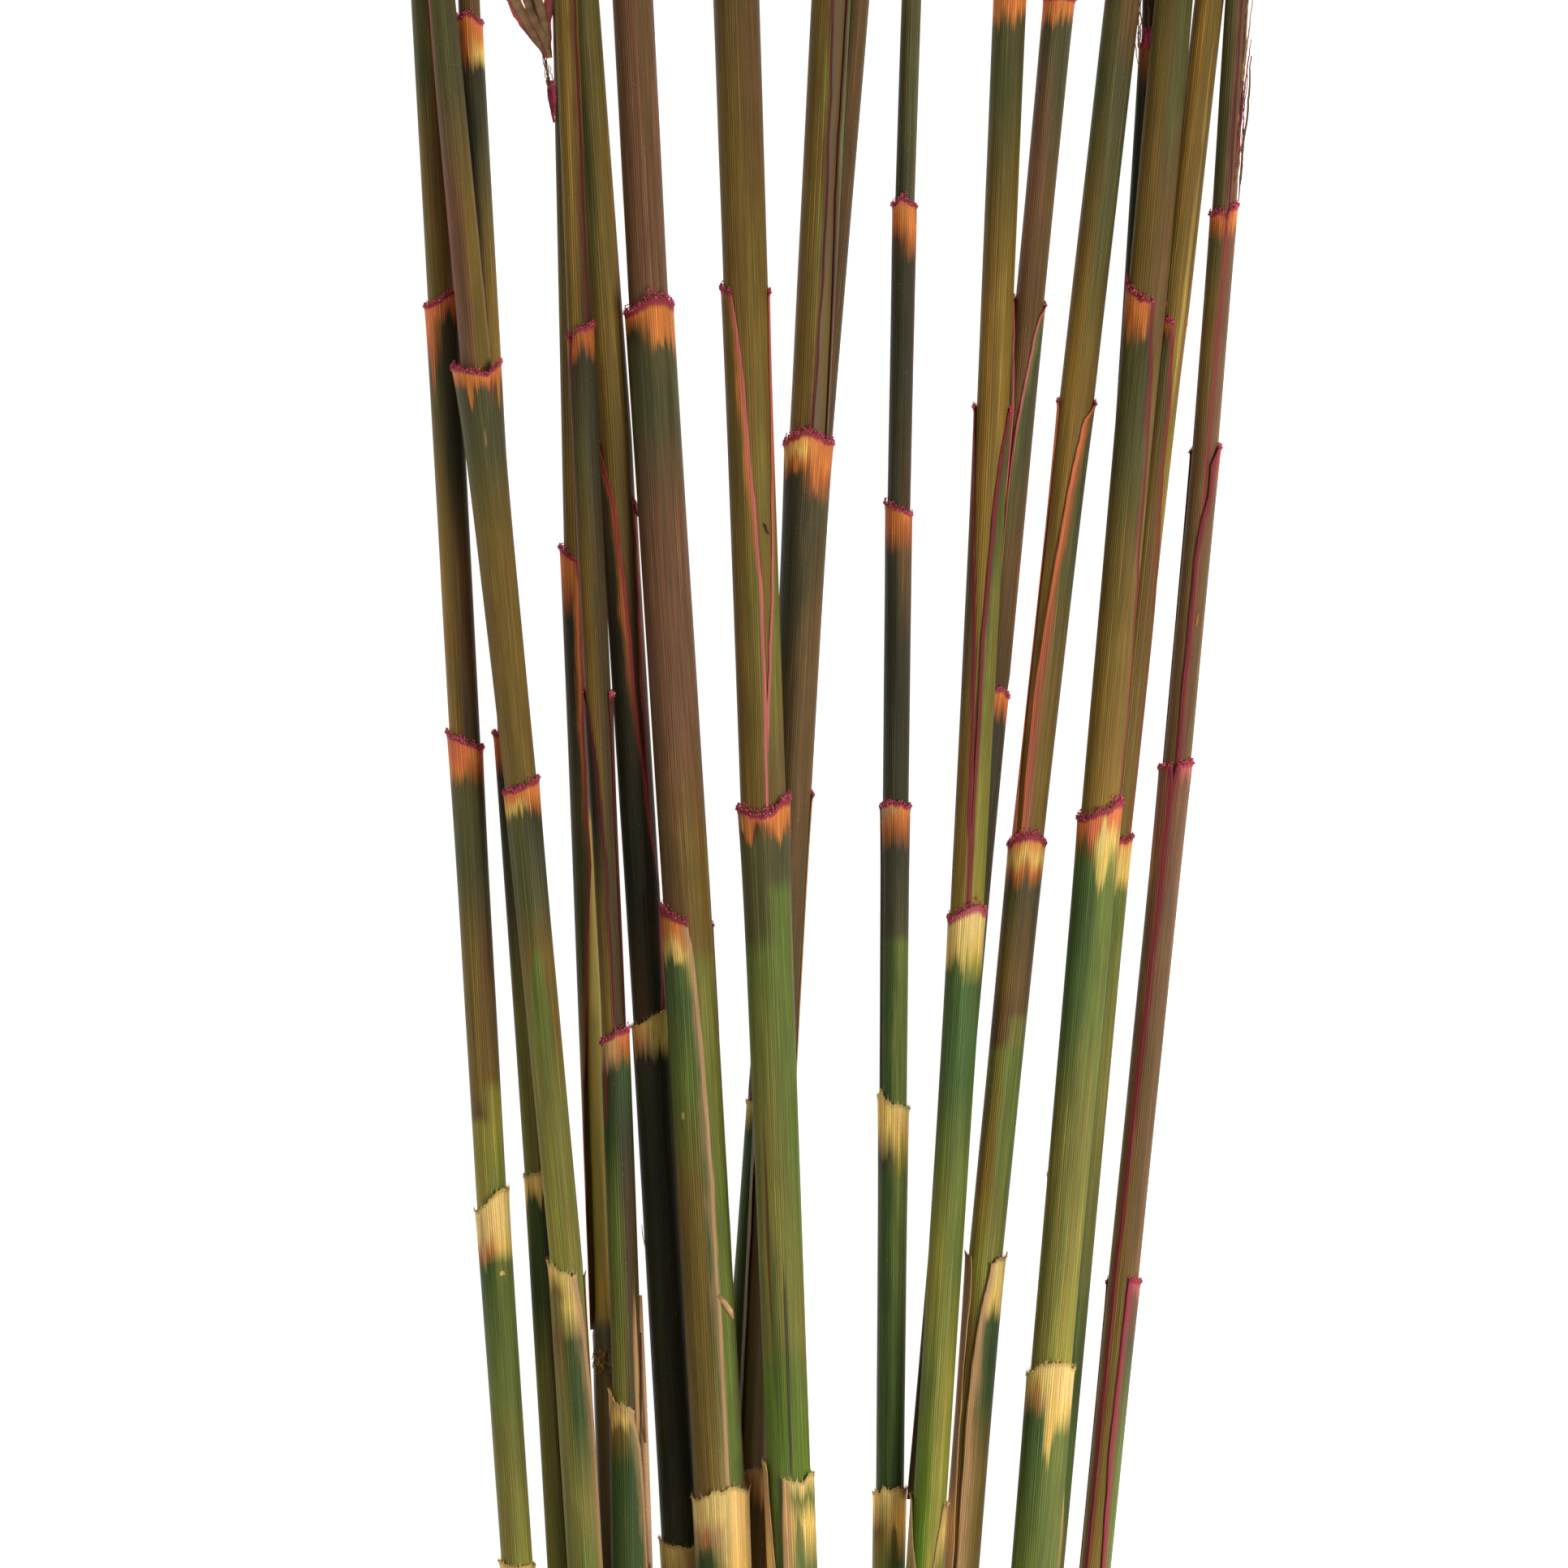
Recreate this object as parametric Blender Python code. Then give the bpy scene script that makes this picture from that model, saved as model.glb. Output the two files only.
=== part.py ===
"""A loose bunch of eighteen cut common reeds, lying on a table.

Each reed is a hollow culm with leaf sheaths rolled around it. A sheath is widest at its collar, from which
the leaf blade is torn off, narrows downwards, and has its foot inside the next sheath down. The reeds lie
along Y and spread like a fan: the uppermost ends are at +Y. Z is up, and the lowest reeds touch Z = 0.

Run it with: blender --background --python part.py
"""

import math
from typing import NamedTuple

import bmesh
import bpy
import numpy as np

MM = 0.001

# Driving dimensions, in millimetres. Positions along the bunch are measured from the middle of its
# visible length, and positions across it from the same point.
ACROSS_AT = (190, 65, -65, -190)  # the four lines across the bunch where each reed's place is given
SIDES = 10  # sides of a culm or a sheath
WALL = 0.3  # thickness of a sheath
GAP = 0.3  # room left between two pieces
NEST = 18.0  # how far a sheath's foot reaches into the next sheath
BORE = 0.6  # the culm's hollow, as a share of its width
BORE_DEPTH = 25.0  # how far the hollow is open from a cut end
RIM_REACH = 0.92  # the share of a sheath's length that its slit takes at most
SAMPLE = 1.0  # step along a reed at which its rest on the others is worked out

# The reeds' main colours, as linear RGB.
OLIVE = (0.130, 0.090, 0.022)
BROWN = (0.098, 0.060, 0.022)
PURPLE_BROWN = (0.100, 0.060, 0.040)
DARK_GREEN = (0.032, 0.040, 0.018)
GREEN = (0.060, 0.120, 0.040)
YELLOW_GREEN = (0.160, 0.170, 0.035)
STRAW = (0.560, 0.420, 0.180)


class Sheath(NamedTuple):
    """One leaf sheath. Angles are about the reed's axis, 90 at the top side and 0 towards +X."""

    collar: float  # place of the collar along the bunch
    slant: float  # how much further up the collar stands on its -X side than on its +X side
    rim: float  # width just below the collar
    foot: float  # width where the next collar hides it
    opens: tuple  # the slit's two edges at the collar
    closes: tuple  # the slit's two edges at its lower end
    slit: float  # length of the slit
    colour: tuple
    joined: bool = False  # one solid with the culm


class Reed(NamedTuple):
    """One reed, with the places of its axis on the four lines across the bunch and of its two cut ends."""

    number: int
    across: tuple
    ends: tuple
    top_widths: tuple  # at the upper cut, and at the first collar
    colour: tuple
    droop: float  # how much lower its ends hang than its middle, by its own weight
    sheaths: tuple


FRONT = ((5, 175), (100, 106))  # a slit that opens wide towards the viewer and closes to a line
BEHIND = ((245, 295), (268, 272))
LEFT_BEHIND = ((215, 265), (240, 244))
RIGHT_BEHIND = ((280, 330), (305, 309))

# The reeds from left to right. They are listed with what is hidden beneath the others too.
REEDS = (
    Reed(1, (-88.3, -81.5, -74.3, -65.9), (214, -226), (6.8, 6.8), BROWN, 0, (
        Sheath(119.4, -3.6, 8.8, 7.6, *LEFT_BEHIND, 30, DARK_GREEN),
        Sheath(11.2, 4.4, 8.8, 7.5, *RIGHT_BEHIND, 30, OLIVE),
        Sheath(-102.0, -5.2, 8.9, 7.8, *LEFT_BEHIND, 34, GREEN),
        Sheath(-192.0, 3.0, 8.8, 8.2, *RIGHT_BEHIND, 20, YELLOW_GREEN, True),
    )),
    Reed(2, (-84.2, -71.6, -58.2, -48.4), (220, -231), (6.6, 7.4), OLIVE, 4, (
        Sheath(102.4, -2.8, 12.4, 8.2, *RIGHT_BEHIND, 40, DARK_GREEN),
        Sheath(-0.4, -3.2, 9.2, 8.2, *LEFT_BEHIND, 30, DARK_GREEN),
        Sheath(-118.0, 5.6, 9.2, 8.8, (-40, 55), (-20, 8), 62, GREEN),
    )),
    Reed(3, (-77.5, -71.0, -62.2, -54.4), (209, -222), (5.4, 5.4), OLIVE, 0, (
        Sheath(188.4, -0.5, 6.4, 6.0, *BEHIND, 20, DARK_GREEN, True),
        Sheath(12.2, 0.0, 8.4, 7.6, *BEHIND, 30, BROWN, True),
        Sheath(-95.8, 0.0, 8.2, 7.6, *BEHIND, 30, GREEN, True),
    )),
    Reed(4, (-54.2, -51.4, -48.4, -42.8), (216, -218), (5.2, 6.0), OLIVE, 0, (
        Sheath(56.8, 3.6, 8.0, 7.2, (10, 85), (20, 115), 80, BROWN),
    )),
    Reed(5, (-53.6, -47.8, -41.4, -37.6), (222, -229), (5.8, 5.8), OLIVE, 4, (
        Sheath(112.0, -4.6, 7.0, 6.6, (165, 215), (190, 194), 35, BROWN),
        Sheath(22.2, 0.4, 7.5, 6.4, (15, 175), (30, 60), 75, BROWN),
        Sheath(-61.6, -3.6, 7.2, 7.4, (165, 215), (190, 194), 40, GREEN),
        Sheath(-150.8, 5.0, 9.2, 9.2, (-30, 60), (-10, 20), 60, GREEN),
    )),
    Reed(6, (-49.1, -40.4, -32.4, -25.4), (212, -225), (7.6, 8.6), OLIVE, 2, (
        Sheath(82.6, 0.0, 9.4, 8.8, (10, 170), (60, 66), 110, DARK_GREEN),
        Sheath(-57.0, -3.6, 9.8, 9.2, *LEFT_BEHIND, 34, DARK_GREEN),
        Sheath(-186.4, 0.0, 10.4, 10.2, *BEHIND, 30, STRAW, True),
    )),
    Reed(7, (-37.3, -30.0, -21.6, -14.9), (224, -234), (10.2, 9.8), PURPLE_BROWN, 6, (
        Sheath(117.4, -3.6, 12.2, 11.8, *BEHIND, 34, PURPLE_BROWN),
        Sheath(-31.2, 6.0, 13.2, 12.9, (10, 85), (15, 70), 142, GREEN),
        Sheath(-173.4, -3.2, 14.0, 13.6, *BEHIND, 40, STRAW),
    )),
    Reed(8, (-11.7, -7.5, -2.8, 2.0), (218, -230), (11.6, 11.0), OLIVE, 9, (
        Sheath(121.0, 1.6, 12.2, 11.2, (12, 175), (70, 74), 100, OLIVE),
        Sheath(-5.8, -2.4, 13.2, 10.6, (75, 115), (92, 96), 10, GREEN),
        Sheath(-169.8, 0.0, 12.6, 12.2, (107, 160), (119, 127), 30, GREEN),
    )),
    Reed(9, (11.5, 5.1, -1.6, -7.8), (226, -224), (9.8, 9.6), OLIVE, 5, (
        Sheath(85.2, 0.0, 12.4, 10.6, *BEHIND, 34, DARK_GREEN),
        Sheath(-3.8, 0.0, 11.4, 10.0, *FRONT, 70, BROWN),
        Sheath(-168.8, 0.0, 10.6, 10.2, *BEHIND, 30, BROWN, True),
    )),
    Reed(10, (16.8, 6.4, -4.4, -14.6), (210, -205), (8.0, 7.6), BROWN, 0, (
        Sheath(62.0, 0.0, 8.0, 7.2, *BEHIND, 30, BROWN, True),
        Sheath(-78.0, 0.0, 7.6, 6.6, *BEHIND, 30, GREEN, True),
    )),
    Reed(11, (31.1, 28.2, 27.0, 25.8), (215, -228), (4.8, 4.8), DARK_GREEN, 0, (
        Sheath(143.8, -1.0, 6.2, 5.6, (-20, 40), (45, 51), 25, DARK_GREEN),
        Sheath(69.0, 2.4, 6.8, 6.5, (-30, 35), (40, 46), 25, DARK_GREEN),
        Sheath(-4.4, 0.0, 7.5, 6.8, (150, 200), (165, 171), 25, DARK_GREEN),
        Sheath(-78.8, 2.4, 7.9, 6.9, *BEHIND, 30, GREEN),
        Sheath(-173.4, 0.0, 8.4, 8.0, *BEHIND, 30, STRAW),
    )),
    Reed(12, (55.4, 50.0, 43.0, 34.8), (219, -233), (7.2, 7.2), OLIVE, 5, (
        Sheath(194.8, -0.5, 8.3, 8.1, *BEHIND, 20, OLIVE, True),
        Sheath(92.2, 1.2, 9.2, 8.6, *FRONT, 72, OLIVE),
        Sheath(-31.8, -0.8, 9.4, 8.2, *BEHIND, 34, GREEN),
        Sheath(-175.8, 1.0, 9.4, 9.0, (20, 170), (60, 120), 55, GREEN),
    )),
    Reed(13, (67.4, 55.4, 43.6, 32.4), (213, -176), (6.8, 6.8), BROWN, 1, (
        Sheath(193.6, -1.5, 8.0, 7.1, *BEHIND, 20, BROWN, True),
        Sheath(118.4, 1.6, 8.4, 7.6, (5, 178), (112, 118), 32, BROWN),
        Sheath(22.6, 0.0, 7.8, 7.0, *BEHIND, 30, DARK_GREEN, True),
        Sheath(-104.2, 0.0, 7.4, 7.0, *BEHIND, 30, BROWN, True),
    )),
    Reed(14, (83.0, 68.6, 54.5, 43.4), (223, -227), (8.8, 8.6), BROWN, 0, (
        Sheath(93.8, 0.8, 9.6, 8.0, (5, 178), (137, 147), 56, OLIVE),
        Sheath(-13.4, -1.0, 9.4, 8.4, *BEHIND, 34, OLIVE),
        Sheath(-115.8, -1.0, 10.2, 8.8, (85, 178), (145, 158), 48, GREEN),
    )),
    Reed(15, (90.0, 82.8, 70.4, 59.0), (207, -216), (3.6, 3.6), BROWN, 0, (
        Sheath(182.2, 0.0, 4.8, 4.4, *BEHIND, 20, DARK_GREEN, True),
        Sheath(38.0, 0.0, 5.0, 4.4, *BEHIND, 20, DARK_GREEN, True),
        Sheath(-96.0, 0.0, 5.0, 4.6, *BEHIND, 20, GREEN, True),
    )),
    Reed(16, (95.6, 84.2, 72.4, 61.6), (221, -232), (9.4, 9.8), BROWN, 5, (
        Sheath(121.6, 6.2, 10.8, 9.4, (-40, 69), (-20, 10), 85, OLIVE),
        Sheath(-6.8, -2.8, 11.0, 10.0, *RIGHT_BEHIND, 34, GREEN),
        Sheath(-143.2, 0.0, 11.8, 11.4, *BEHIND, 40, GREEN),
    )),
    Reed(17, (104.3, 90.2, 76.6, 65.2), (199, -219), (7.2, 7.6), YELLOW_GREEN, 0, (
        Sheath(114.0, 0.5, 8.4, 7.3, (-30, 80), (-20, 18), 78, OLIVE),
        Sheath(-13.8, -3.0, 8.2, 7.2, *LEFT_BEHIND, 34, GREEN),
    )),
    Reed(18, (111.6, 102.2, 89.5, 76.7), (217, -223), (5.8, 6.0), PURPLE_BROWN, 0, (
        Sheath(141.6, -2.2, 6.9, 6.4, (80, 100), (86, 90), 12, BROWN),
        Sheath(82.2, -0.6, 7.7, 7.2, (60, 172), (98, 106), 46, PURPLE_BROWN),
        Sheath(4.6, -1.0, 8.3, 7.4, (5, 175), (104, 110), 42, PURPLE_BROWN),
        Sheath(-122.8, -2.0, 8.6, 7.8, (75, 172), (80, 150), 100, PURPLE_BROWN),
    )),
)

# The order in which the reeds were laid down, by number, the lowest first.
LAID = (10, 15, 17, 11, 13, 3, 1, 4, 6, 14, 18, 9, 5, 12, 16, 7, 8, 2)

NODE_OF_REED_4 = -132.0  # the bare stem node where reed 4's only sheath begins
BARE_CULM = 5.4  # width of reed 4 below that node


def last_end(reed):
    """Where a reed's lowest sheath ends."""
    return NODE_OF_REED_4 if reed.number == 4 else reed.ends[1]


def next_collar(reed, index):
    """Where the sheath below this one begins, or where this one ends if it is the lowest."""
    if index + 1 < len(reed.sheaths):
        return reed.sheaths[index + 1].collar
    return last_end(reed)


def outer_width(reed, index, along):
    """Width of a sheath at a place between its collar and the next one."""
    sheath = reed.sheaths[index]
    share = (sheath.collar - along) / (sheath.collar - next_collar(reed, index))
    return sheath.rim + share * (neck_width(reed, index) - sheath.rim)


def neck_width(reed, index):
    """Width of a sheath where the next collar hides it, small enough to fit inside that one."""
    foot = reed.sheaths[index].foot
    if index + 1 == len(reed.sheaths) or reed.sheaths[index + 1].joined:
        return foot
    return min(foot, reed.sheaths[index + 1].rim - 2 * (WALL + GAP))


def foot_end(reed, index):
    """Place and width of a sheath's lower end."""
    below = index + 1
    if below == len(reed.sheaths):
        return last_end(reed), reed.sheaths[index].foot
    collar = reed.sheaths[below].collar
    if reed.sheaths[below].joined:
        return collar + GAP, neck_width(reed, index)
    end = collar - NEST
    room = outer_width(reed, below, end) - 2 * (WALL + GAP)
    return end, min(neck_width(reed, index), room)


def culm_width(reed):
    """Width of the culm inside its sheaths: the widest that fits them all."""
    inside = [
        min(foot_end(reed, i)[1], outer_width(reed, i, next_collar(reed, i))) - 2 * (WALL + GAP)
        for i, sheath in enumerate(reed.sheaths)
        if not sheath.joined
    ]
    return min(inside + [reed.top_widths[0]])


def culm_profile(reed):
    """Places and widths of a culm from its upper cut to its lower one, with what is joined to it."""
    inner = culm_width(reed)
    profile = [(reed.ends[0], reed.top_widths[0]), (reed.sheaths[0].collar, reed.top_widths[1])]
    for index, sheath in enumerate(reed.sheaths):
        after = next_collar(reed, index)
        if sheath.joined:
            profile += [(sheath.collar, sheath.rim), (after, neck_width(reed, index))]
        else:
            profile += [(sheath.collar - NEST, inner), (after, inner)]
    if reed.number == 4:
        profile[-1] = (reed.ends[1], BARE_CULM)
    return profile


def envelope(reed, along):
    """Greatest radius of a reed at each place along it."""
    places = [reed.ends[1]]
    widths = [reed.sheaths[-1].rim if reed.number == 4 else reed.sheaths[-1].foot]
    for index in reversed(range(len(reed.sheaths))):
        sheath = reed.sheaths[index]
        places += [next_collar(reed, index) + 2 * GAP, sheath.collar + 2 * GAP]
        widths += [neck_width(reed, index), sheath.rim]
    places += [reed.sheaths[0].collar + 3 * GAP, reed.ends[0]]
    widths += [reed.top_widths[1], reed.top_widths[0]]
    return np.interp(along, places, widths) / 2


def knots(reed):
    """Places where a reed's axis bends a little: its two cuts and its collars."""
    return [reed.ends[0], *(s.collar for s in reed.sheaths), reed.ends[1]]


def axis_across(reed, along):
    """Where a reed's axis is across the bunch."""
    curve = np.polyfit(ACROSS_AT, reed.across, 3)
    bends = sorted(knots(reed))
    return np.interp(along, bends, np.polyval(curve, bends))


def sagging(reed, along):
    """How far a reed hangs below a straight line that touches it at its middle."""
    bends = np.array(sorted(knots(reed)))
    middle = (reed.ends[0] + reed.ends[1]) / 2
    half = (reed.ends[0] - reed.ends[1]) / 2
    return np.interp(along, bends, reed.droop * ((bends - middle) / half) ** 2)


def resting_line(along, need):
    """The straight line that touches need at two places, one on each side of the reed's middle."""
    half = len(along) // 2
    middle = (along[half - 1] + along[half]) / 2
    y1, h1 = along[:half, None], need[:half, None]
    y2, h2 = along[None, half:], need[None, half:]
    at_middle = h1 + (h2 - h1) * (middle - y1) / (y2 - y1)
    i, j = np.unravel_index(np.argmax(at_middle), at_middle.shape)
    slope = (h2[0, j] - h1[i, 0]) / (y2[0, j] - y1[i, 0])
    return h1[i, 0] - slope * y1[i, 0], slope


def axis_height(reed, rest, along):
    return rest[0] + rest[1] * along - sagging(reed, along)


def rest_heights():
    """Each reed's straight line as (height at the middle of the bunch, slope), laid down one by one."""
    by_number = {reed.number: reed for reed in REEDS}
    laid = {}
    for number in LAID:
        reed = by_number[number]
        along = np.arange(reed.ends[1], reed.ends[0] + SAMPLE / 2, SAMPLE)
        radius = envelope(reed, along)
        across = axis_across(reed, along)
        need = radius.copy()
        for other, rest in laid.items():
            below = by_number[other]
            apart = np.abs(across - axis_across(below, along))
            reach = radius + envelope(below, along) + GAP
            beside = (along > below.ends[1] - GAP) & (along < below.ends[0] + GAP)
            touching = beside & (apart < reach)
            lift = np.sqrt(np.clip(reach**2 - apart**2, 0, None))
            need = np.where(touching, np.maximum(need, axis_height(below, rest, along) + lift), need)
        laid[number] = resting_line(along, need + sagging(reed, along))
    return laid


def spoke(index):
    """Direction of one corner of the reeds' section, in degrees."""
    return 90 + 360 * index / SIDES


def corner(reed, rest, along, width, index):
    """One corner of a reed's section, in millimetres."""
    turn = math.radians(spoke(index))
    across = float(axis_across(reed, along)) + width / 2 * math.cos(turn)
    height = float(axis_height(reed, rest, along)) + width / 2 * math.sin(turn)
    return across, along, height


def ring(reed, rest, along, width):
    return [corner(reed, rest, along, width, i) for i in range(SIDES)]


def slit_depth(sheath, index, length):
    """How far below the collar the rim is at one corner: the slit is a V between its two edges."""
    lower, upper = sheath.opens
    middle = (sheath.closes[0] + sheath.closes[1]) / 2
    turn = (spoke(index) - middle + 180) % 360 - 180 + middle
    if turn < lower or turn > upper:
        return 0.0
    if sheath.closes[0] <= turn <= sheath.closes[1]:
        full = sheath.slit
    elif turn < middle:
        full = sheath.slit * (turn - lower) / (sheath.closes[0] - lower)
    else:
        full = sheath.slit * (upper - turn) / (upper - sheath.closes[1])
    return min(full, RIM_REACH * length)


def rim_ring(reed, rest, index, inset):
    """The ragged V of a sheath's rim, each corner slid down the sheath's own side."""
    sheath = reed.sheaths[index]
    length = sheath.collar - next_collar(reed, index)
    points = []
    for i in range(SIDES):
        lift = -sheath.slant / 2 * math.cos(math.radians(spoke(i)))
        drop = max(slit_depth(sheath, i, length) - lift, 0)
        width = outer_width(reed, index, sheath.collar - drop) - inset
        points.append(corner(reed, rest, sheath.collar - drop, width, i))
    return points


def skin(name, rings, closed, colour):
    """Draws a loop of corners through each ring in turn, and makes it one named object."""
    mesh = bmesh.new()
    loop = [mesh.verts.new(point) for point in rings[0]]
    edges = [mesh.edges.new((loop[i - 1], loop[i])) for i in range(SIDES)]
    if not closed:
        bmesh.ops.contextual_create(mesh, geom=edges)
    for points in rings[1:] + (rings[:1] if closed else []):
        drawn = set(bmesh.ops.extrude_edge_only(mesh, edges=edges)["geom"])
        loop = [next(e.other_vert(v) for e in v.link_edges if e.other_vert(v) in drawn) for v in loop]
        for vertex, point in zip(loop, points):
            vertex.co = point
        edges = [mesh.edges.get((loop[i - 1], loop[i])) for i in range(SIDES)]
    if closed:
        bmesh.ops.remove_doubles(mesh, verts=mesh.verts, dist=0.0001)
    else:
        bmesh.ops.contextual_create(mesh, geom=edges)
    bmesh.ops.recalc_face_normals(mesh, faces=mesh.faces)
    bmesh.ops.scale(mesh, verts=mesh.verts, vec=(MM, MM, MM))
    data = bpy.data.meshes.new(name)
    mesh.to_mesh(data)
    mesh.free()
    data.shade_smooth()
    data.set_sharp_from_angle(angle=math.radians(50))
    material = bpy.data.materials.new(name)
    material.use_nodes = True
    shader = material.node_tree.nodes["Principled BSDF"]
    shader.inputs["Base Color"].default_value = (*colour, 1)
    shader.inputs["Roughness"].default_value = 0.5
    shader.inputs["Metallic"].default_value = 0.0
    data.materials.append(material)
    piece = bpy.data.objects.new(name, data)
    bpy.context.scene.collection.objects.link(piece)
    return piece


def make_culm(reed, rest):
    """The culm with what is joined to it, open for a short way at both cut ends."""
    top, bottom = reed.ends
    profile = culm_profile(reed)
    top_bore = BORE * profile[0][1]
    bottom_bore = BORE * min(culm_width(reed), profile[-1][1])
    rings = [ring(reed, rest, top - BORE_DEPTH, top_bore), ring(reed, rest, top, top_bore)]
    rings += [ring(reed, rest, along, width) for along, width in profile]
    rings += [ring(reed, rest, bottom, bottom_bore), ring(reed, rest, bottom + BORE_DEPTH, bottom_bore)]
    return skin(f"reed_{reed.number:02d}_culm", rings, False, reed.colour)


def make_sheath(reed, rest, index):
    """A sheath as a closed tube with a V-shaped slit at its collar: below the slit its edges overlap."""
    neck = next_collar(reed, index)
    end, end_width = foot_end(reed, index)
    outside = [rim_ring(reed, rest, index, 0)]
    inside = [rim_ring(reed, rest, index, 2 * WALL)]
    if end < neck:
        outside.append(ring(reed, rest, neck, neck_width(reed, index)))
        inside.append(ring(reed, rest, neck, neck_width(reed, index) - 2 * WALL))
    outside.append(ring(reed, rest, end, end_width))
    inside.append(ring(reed, rest, end, end_width - 2 * WALL))
    name = f"reed_{reed.number:02d}_sheath_{index + 1}"
    return skin(name, outside + inside[::-1], True, reed.sheaths[index].colour)


def centre_on_origin(pieces):
    """Moves the whole bunch so that the middle of its floor area is the origin."""
    corners = np.array([v.co for piece in pieces for v in piece.data.vertices])
    low, high = corners.min(0), corners.max(0)
    shift = np.array([(low[0] + high[0]) / 2, (low[1] + high[1]) / 2, low[2]])
    for piece in pieces:
        for vertex in piece.data.vertices:
            vertex.co -= type(vertex.co)(shift)
        piece.data.update()


for stale in list(bpy.data.objects):
    bpy.data.objects.remove(stale)

rests = rest_heights()
bunch = []
for reed in REEDS:
    bunch.append(make_culm(reed, rests[reed.number]))
    for place, sheath in enumerate(reed.sheaths):
        if not sheath.joined:
            bunch.append(make_sheath(reed, rests[reed.number], place))
centre_on_origin(bunch)
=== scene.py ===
"""Looks for a loose bunch of eighteen cut common reeds, lying on a pale table and seen from straight above.

Each reed is a hollow culm with leaf sheaths rolled around it. A sheath is a sheet whose two margins meet in a
V at its collar and overlap below it, and its collar is crumbly, crimson and hairy where the leaf blade was.
"""

import math
import random
from typing import NamedTuple

import bmesh
import bpy
import numpy as np
from mathutils import Matrix, Vector, noise


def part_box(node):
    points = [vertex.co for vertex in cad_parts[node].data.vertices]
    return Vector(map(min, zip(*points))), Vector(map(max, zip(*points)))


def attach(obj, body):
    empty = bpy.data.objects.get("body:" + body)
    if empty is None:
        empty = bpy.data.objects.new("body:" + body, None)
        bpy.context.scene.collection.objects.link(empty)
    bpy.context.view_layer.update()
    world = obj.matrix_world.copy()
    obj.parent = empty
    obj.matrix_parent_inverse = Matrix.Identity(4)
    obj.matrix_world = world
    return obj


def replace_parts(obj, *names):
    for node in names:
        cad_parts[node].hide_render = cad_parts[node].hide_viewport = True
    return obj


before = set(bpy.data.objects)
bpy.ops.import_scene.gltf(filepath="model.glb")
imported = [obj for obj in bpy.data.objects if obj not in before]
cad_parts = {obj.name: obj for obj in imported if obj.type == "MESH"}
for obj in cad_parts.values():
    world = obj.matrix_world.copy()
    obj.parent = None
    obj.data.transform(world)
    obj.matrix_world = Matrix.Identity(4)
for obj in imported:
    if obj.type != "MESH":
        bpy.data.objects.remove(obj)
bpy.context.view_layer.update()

# Culms: the bare hollow stems inside the sheaths, with pale pith at both cuts. Only reed 4 shows its own, bright
# below its one leaf down to a swollen joint, a gold made brighter than its own as painted light where the higher
# reeds beside it shade it. Their middles and widths are read from the imported solids, and places seen in the
# photograph are given in its own pixels.
MM = 0.001
PIXEL = 0.2 * MM
MIDDLE = (-0.01144, 0.004)
PHOTO_MIDDLE = 966
BORE_DEPTH = 24 * MM
BORE = 0.66
BORE_END = 0.62
BORE_MOUTH = 0.72
CUT_BEVEL = 0.95
CUT = 0.2 * MM
SIDES = 28
STEPS = 100
FOUR = 4
FOUR_JOINT = 1645
FOUR_CULM = 3.4 * MM
FOUR_BARE = (1000, 1625)


def across(px):
    return MIDDLE[0] + (px - PHOTO_MIDDLE) * PIXEL


def along(py):
    return MIDDLE[1] + (PHOTO_MIDDLE - py) * PIXEL


def srgb(red, green, blue):
    """A colour as seen on screen, from 0 to 255, made linear."""
    return tuple(((c / 255 + 0.055) / 1.055) ** 2.4 for c in (red, green, blue))


def rings(node):
    """The rings of a reed's solid, by their place along it: middle across, middle height and radii."""
    levels = {}
    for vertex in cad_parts[node].data.vertices:
        levels.setdefault(round(vertex.co.y, 5), []).append((vertex.co.x, vertex.co.z))
    found = {}
    for place, points in levels.items():
        points = np.array(points)
        middle = (points.min(0) + points.max(0)) / 2
        radii = []
        for radius in np.unique(np.round(np.hypot(*(points - middle).T), 5)):
            if not radii or radius - radii[-1] > 0.05 * MM:
                radii.append(radius)
        found[place] = (middle[0], middle[1], radii)
    return found


class Stem:
    """One reed's axis, and the places and widths of its sheaths as (top, end, rim, neck, solid)."""

    def __init__(self, number):
        self.number = number
        self.node = f"reed_{number:02d}_culm"
        levels = rings(self.node)
        self.y = np.array(sorted(levels))
        self.x = np.array([levels[y][0] for y in self.y])
        self.z = np.array([levels[y][1] for y in self.y])
        self.top, self.bottom = self.y[-1], self.y[0]
        nodes = [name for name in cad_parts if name.startswith(f"reed_{number:02d}_sheath")]
        cuts = [(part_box(name)[1].y, name) for name in nodes]
        cuts += [(y, None) for y in self.y[1:-1] if len(levels[y][2]) > 1]
        cuts.sort(key=lambda cut: -cut[0])
        first = cuts[0][0]
        self.sheaths = [(self.top, first, levels[self.top][2][-1], levels[self.nearest(first)][2][0], None)]
        for index, (place, node) in enumerate(cuts):
            after = cuts[index + 1][0] if index + 1 < len(cuts) else self.bottom
            if node is None:
                rim = levels[self.nearest(place)][2][-1]
                neck = levels[self.nearest(after)][2][-1 if after == self.bottom else 0]
            else:
                after = max(after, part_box(node)[0].y)
                own = [vertex.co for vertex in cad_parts[node].data.vertices]
                rim = max(self.away(p) for p in own if p.y > place - 0.2 * MM)
                neck = max(self.away(p) for p in own if abs(p.y - after) < 0.5 * MM)
            self.sheaths.append((place, after, rim, neck, node))
        narrowest = min(min(sheath[2], sheath[3]) for sheath in self.sheaths)
        self.culm = min(narrowest - 0.6 * MM, levels[self.top][2][-1] - 0.5 * MM)

    def nearest(self, place):
        return self.y[np.argmin(np.abs(self.y - place))]

    def centre(self, y):
        return float(np.interp(y, self.y, self.x)), float(np.interp(y, self.y, self.z))

    def away(self, point):
        x, z = self.centre(point.y)
        return math.hypot(point.x - x, point.z - z)


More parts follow.
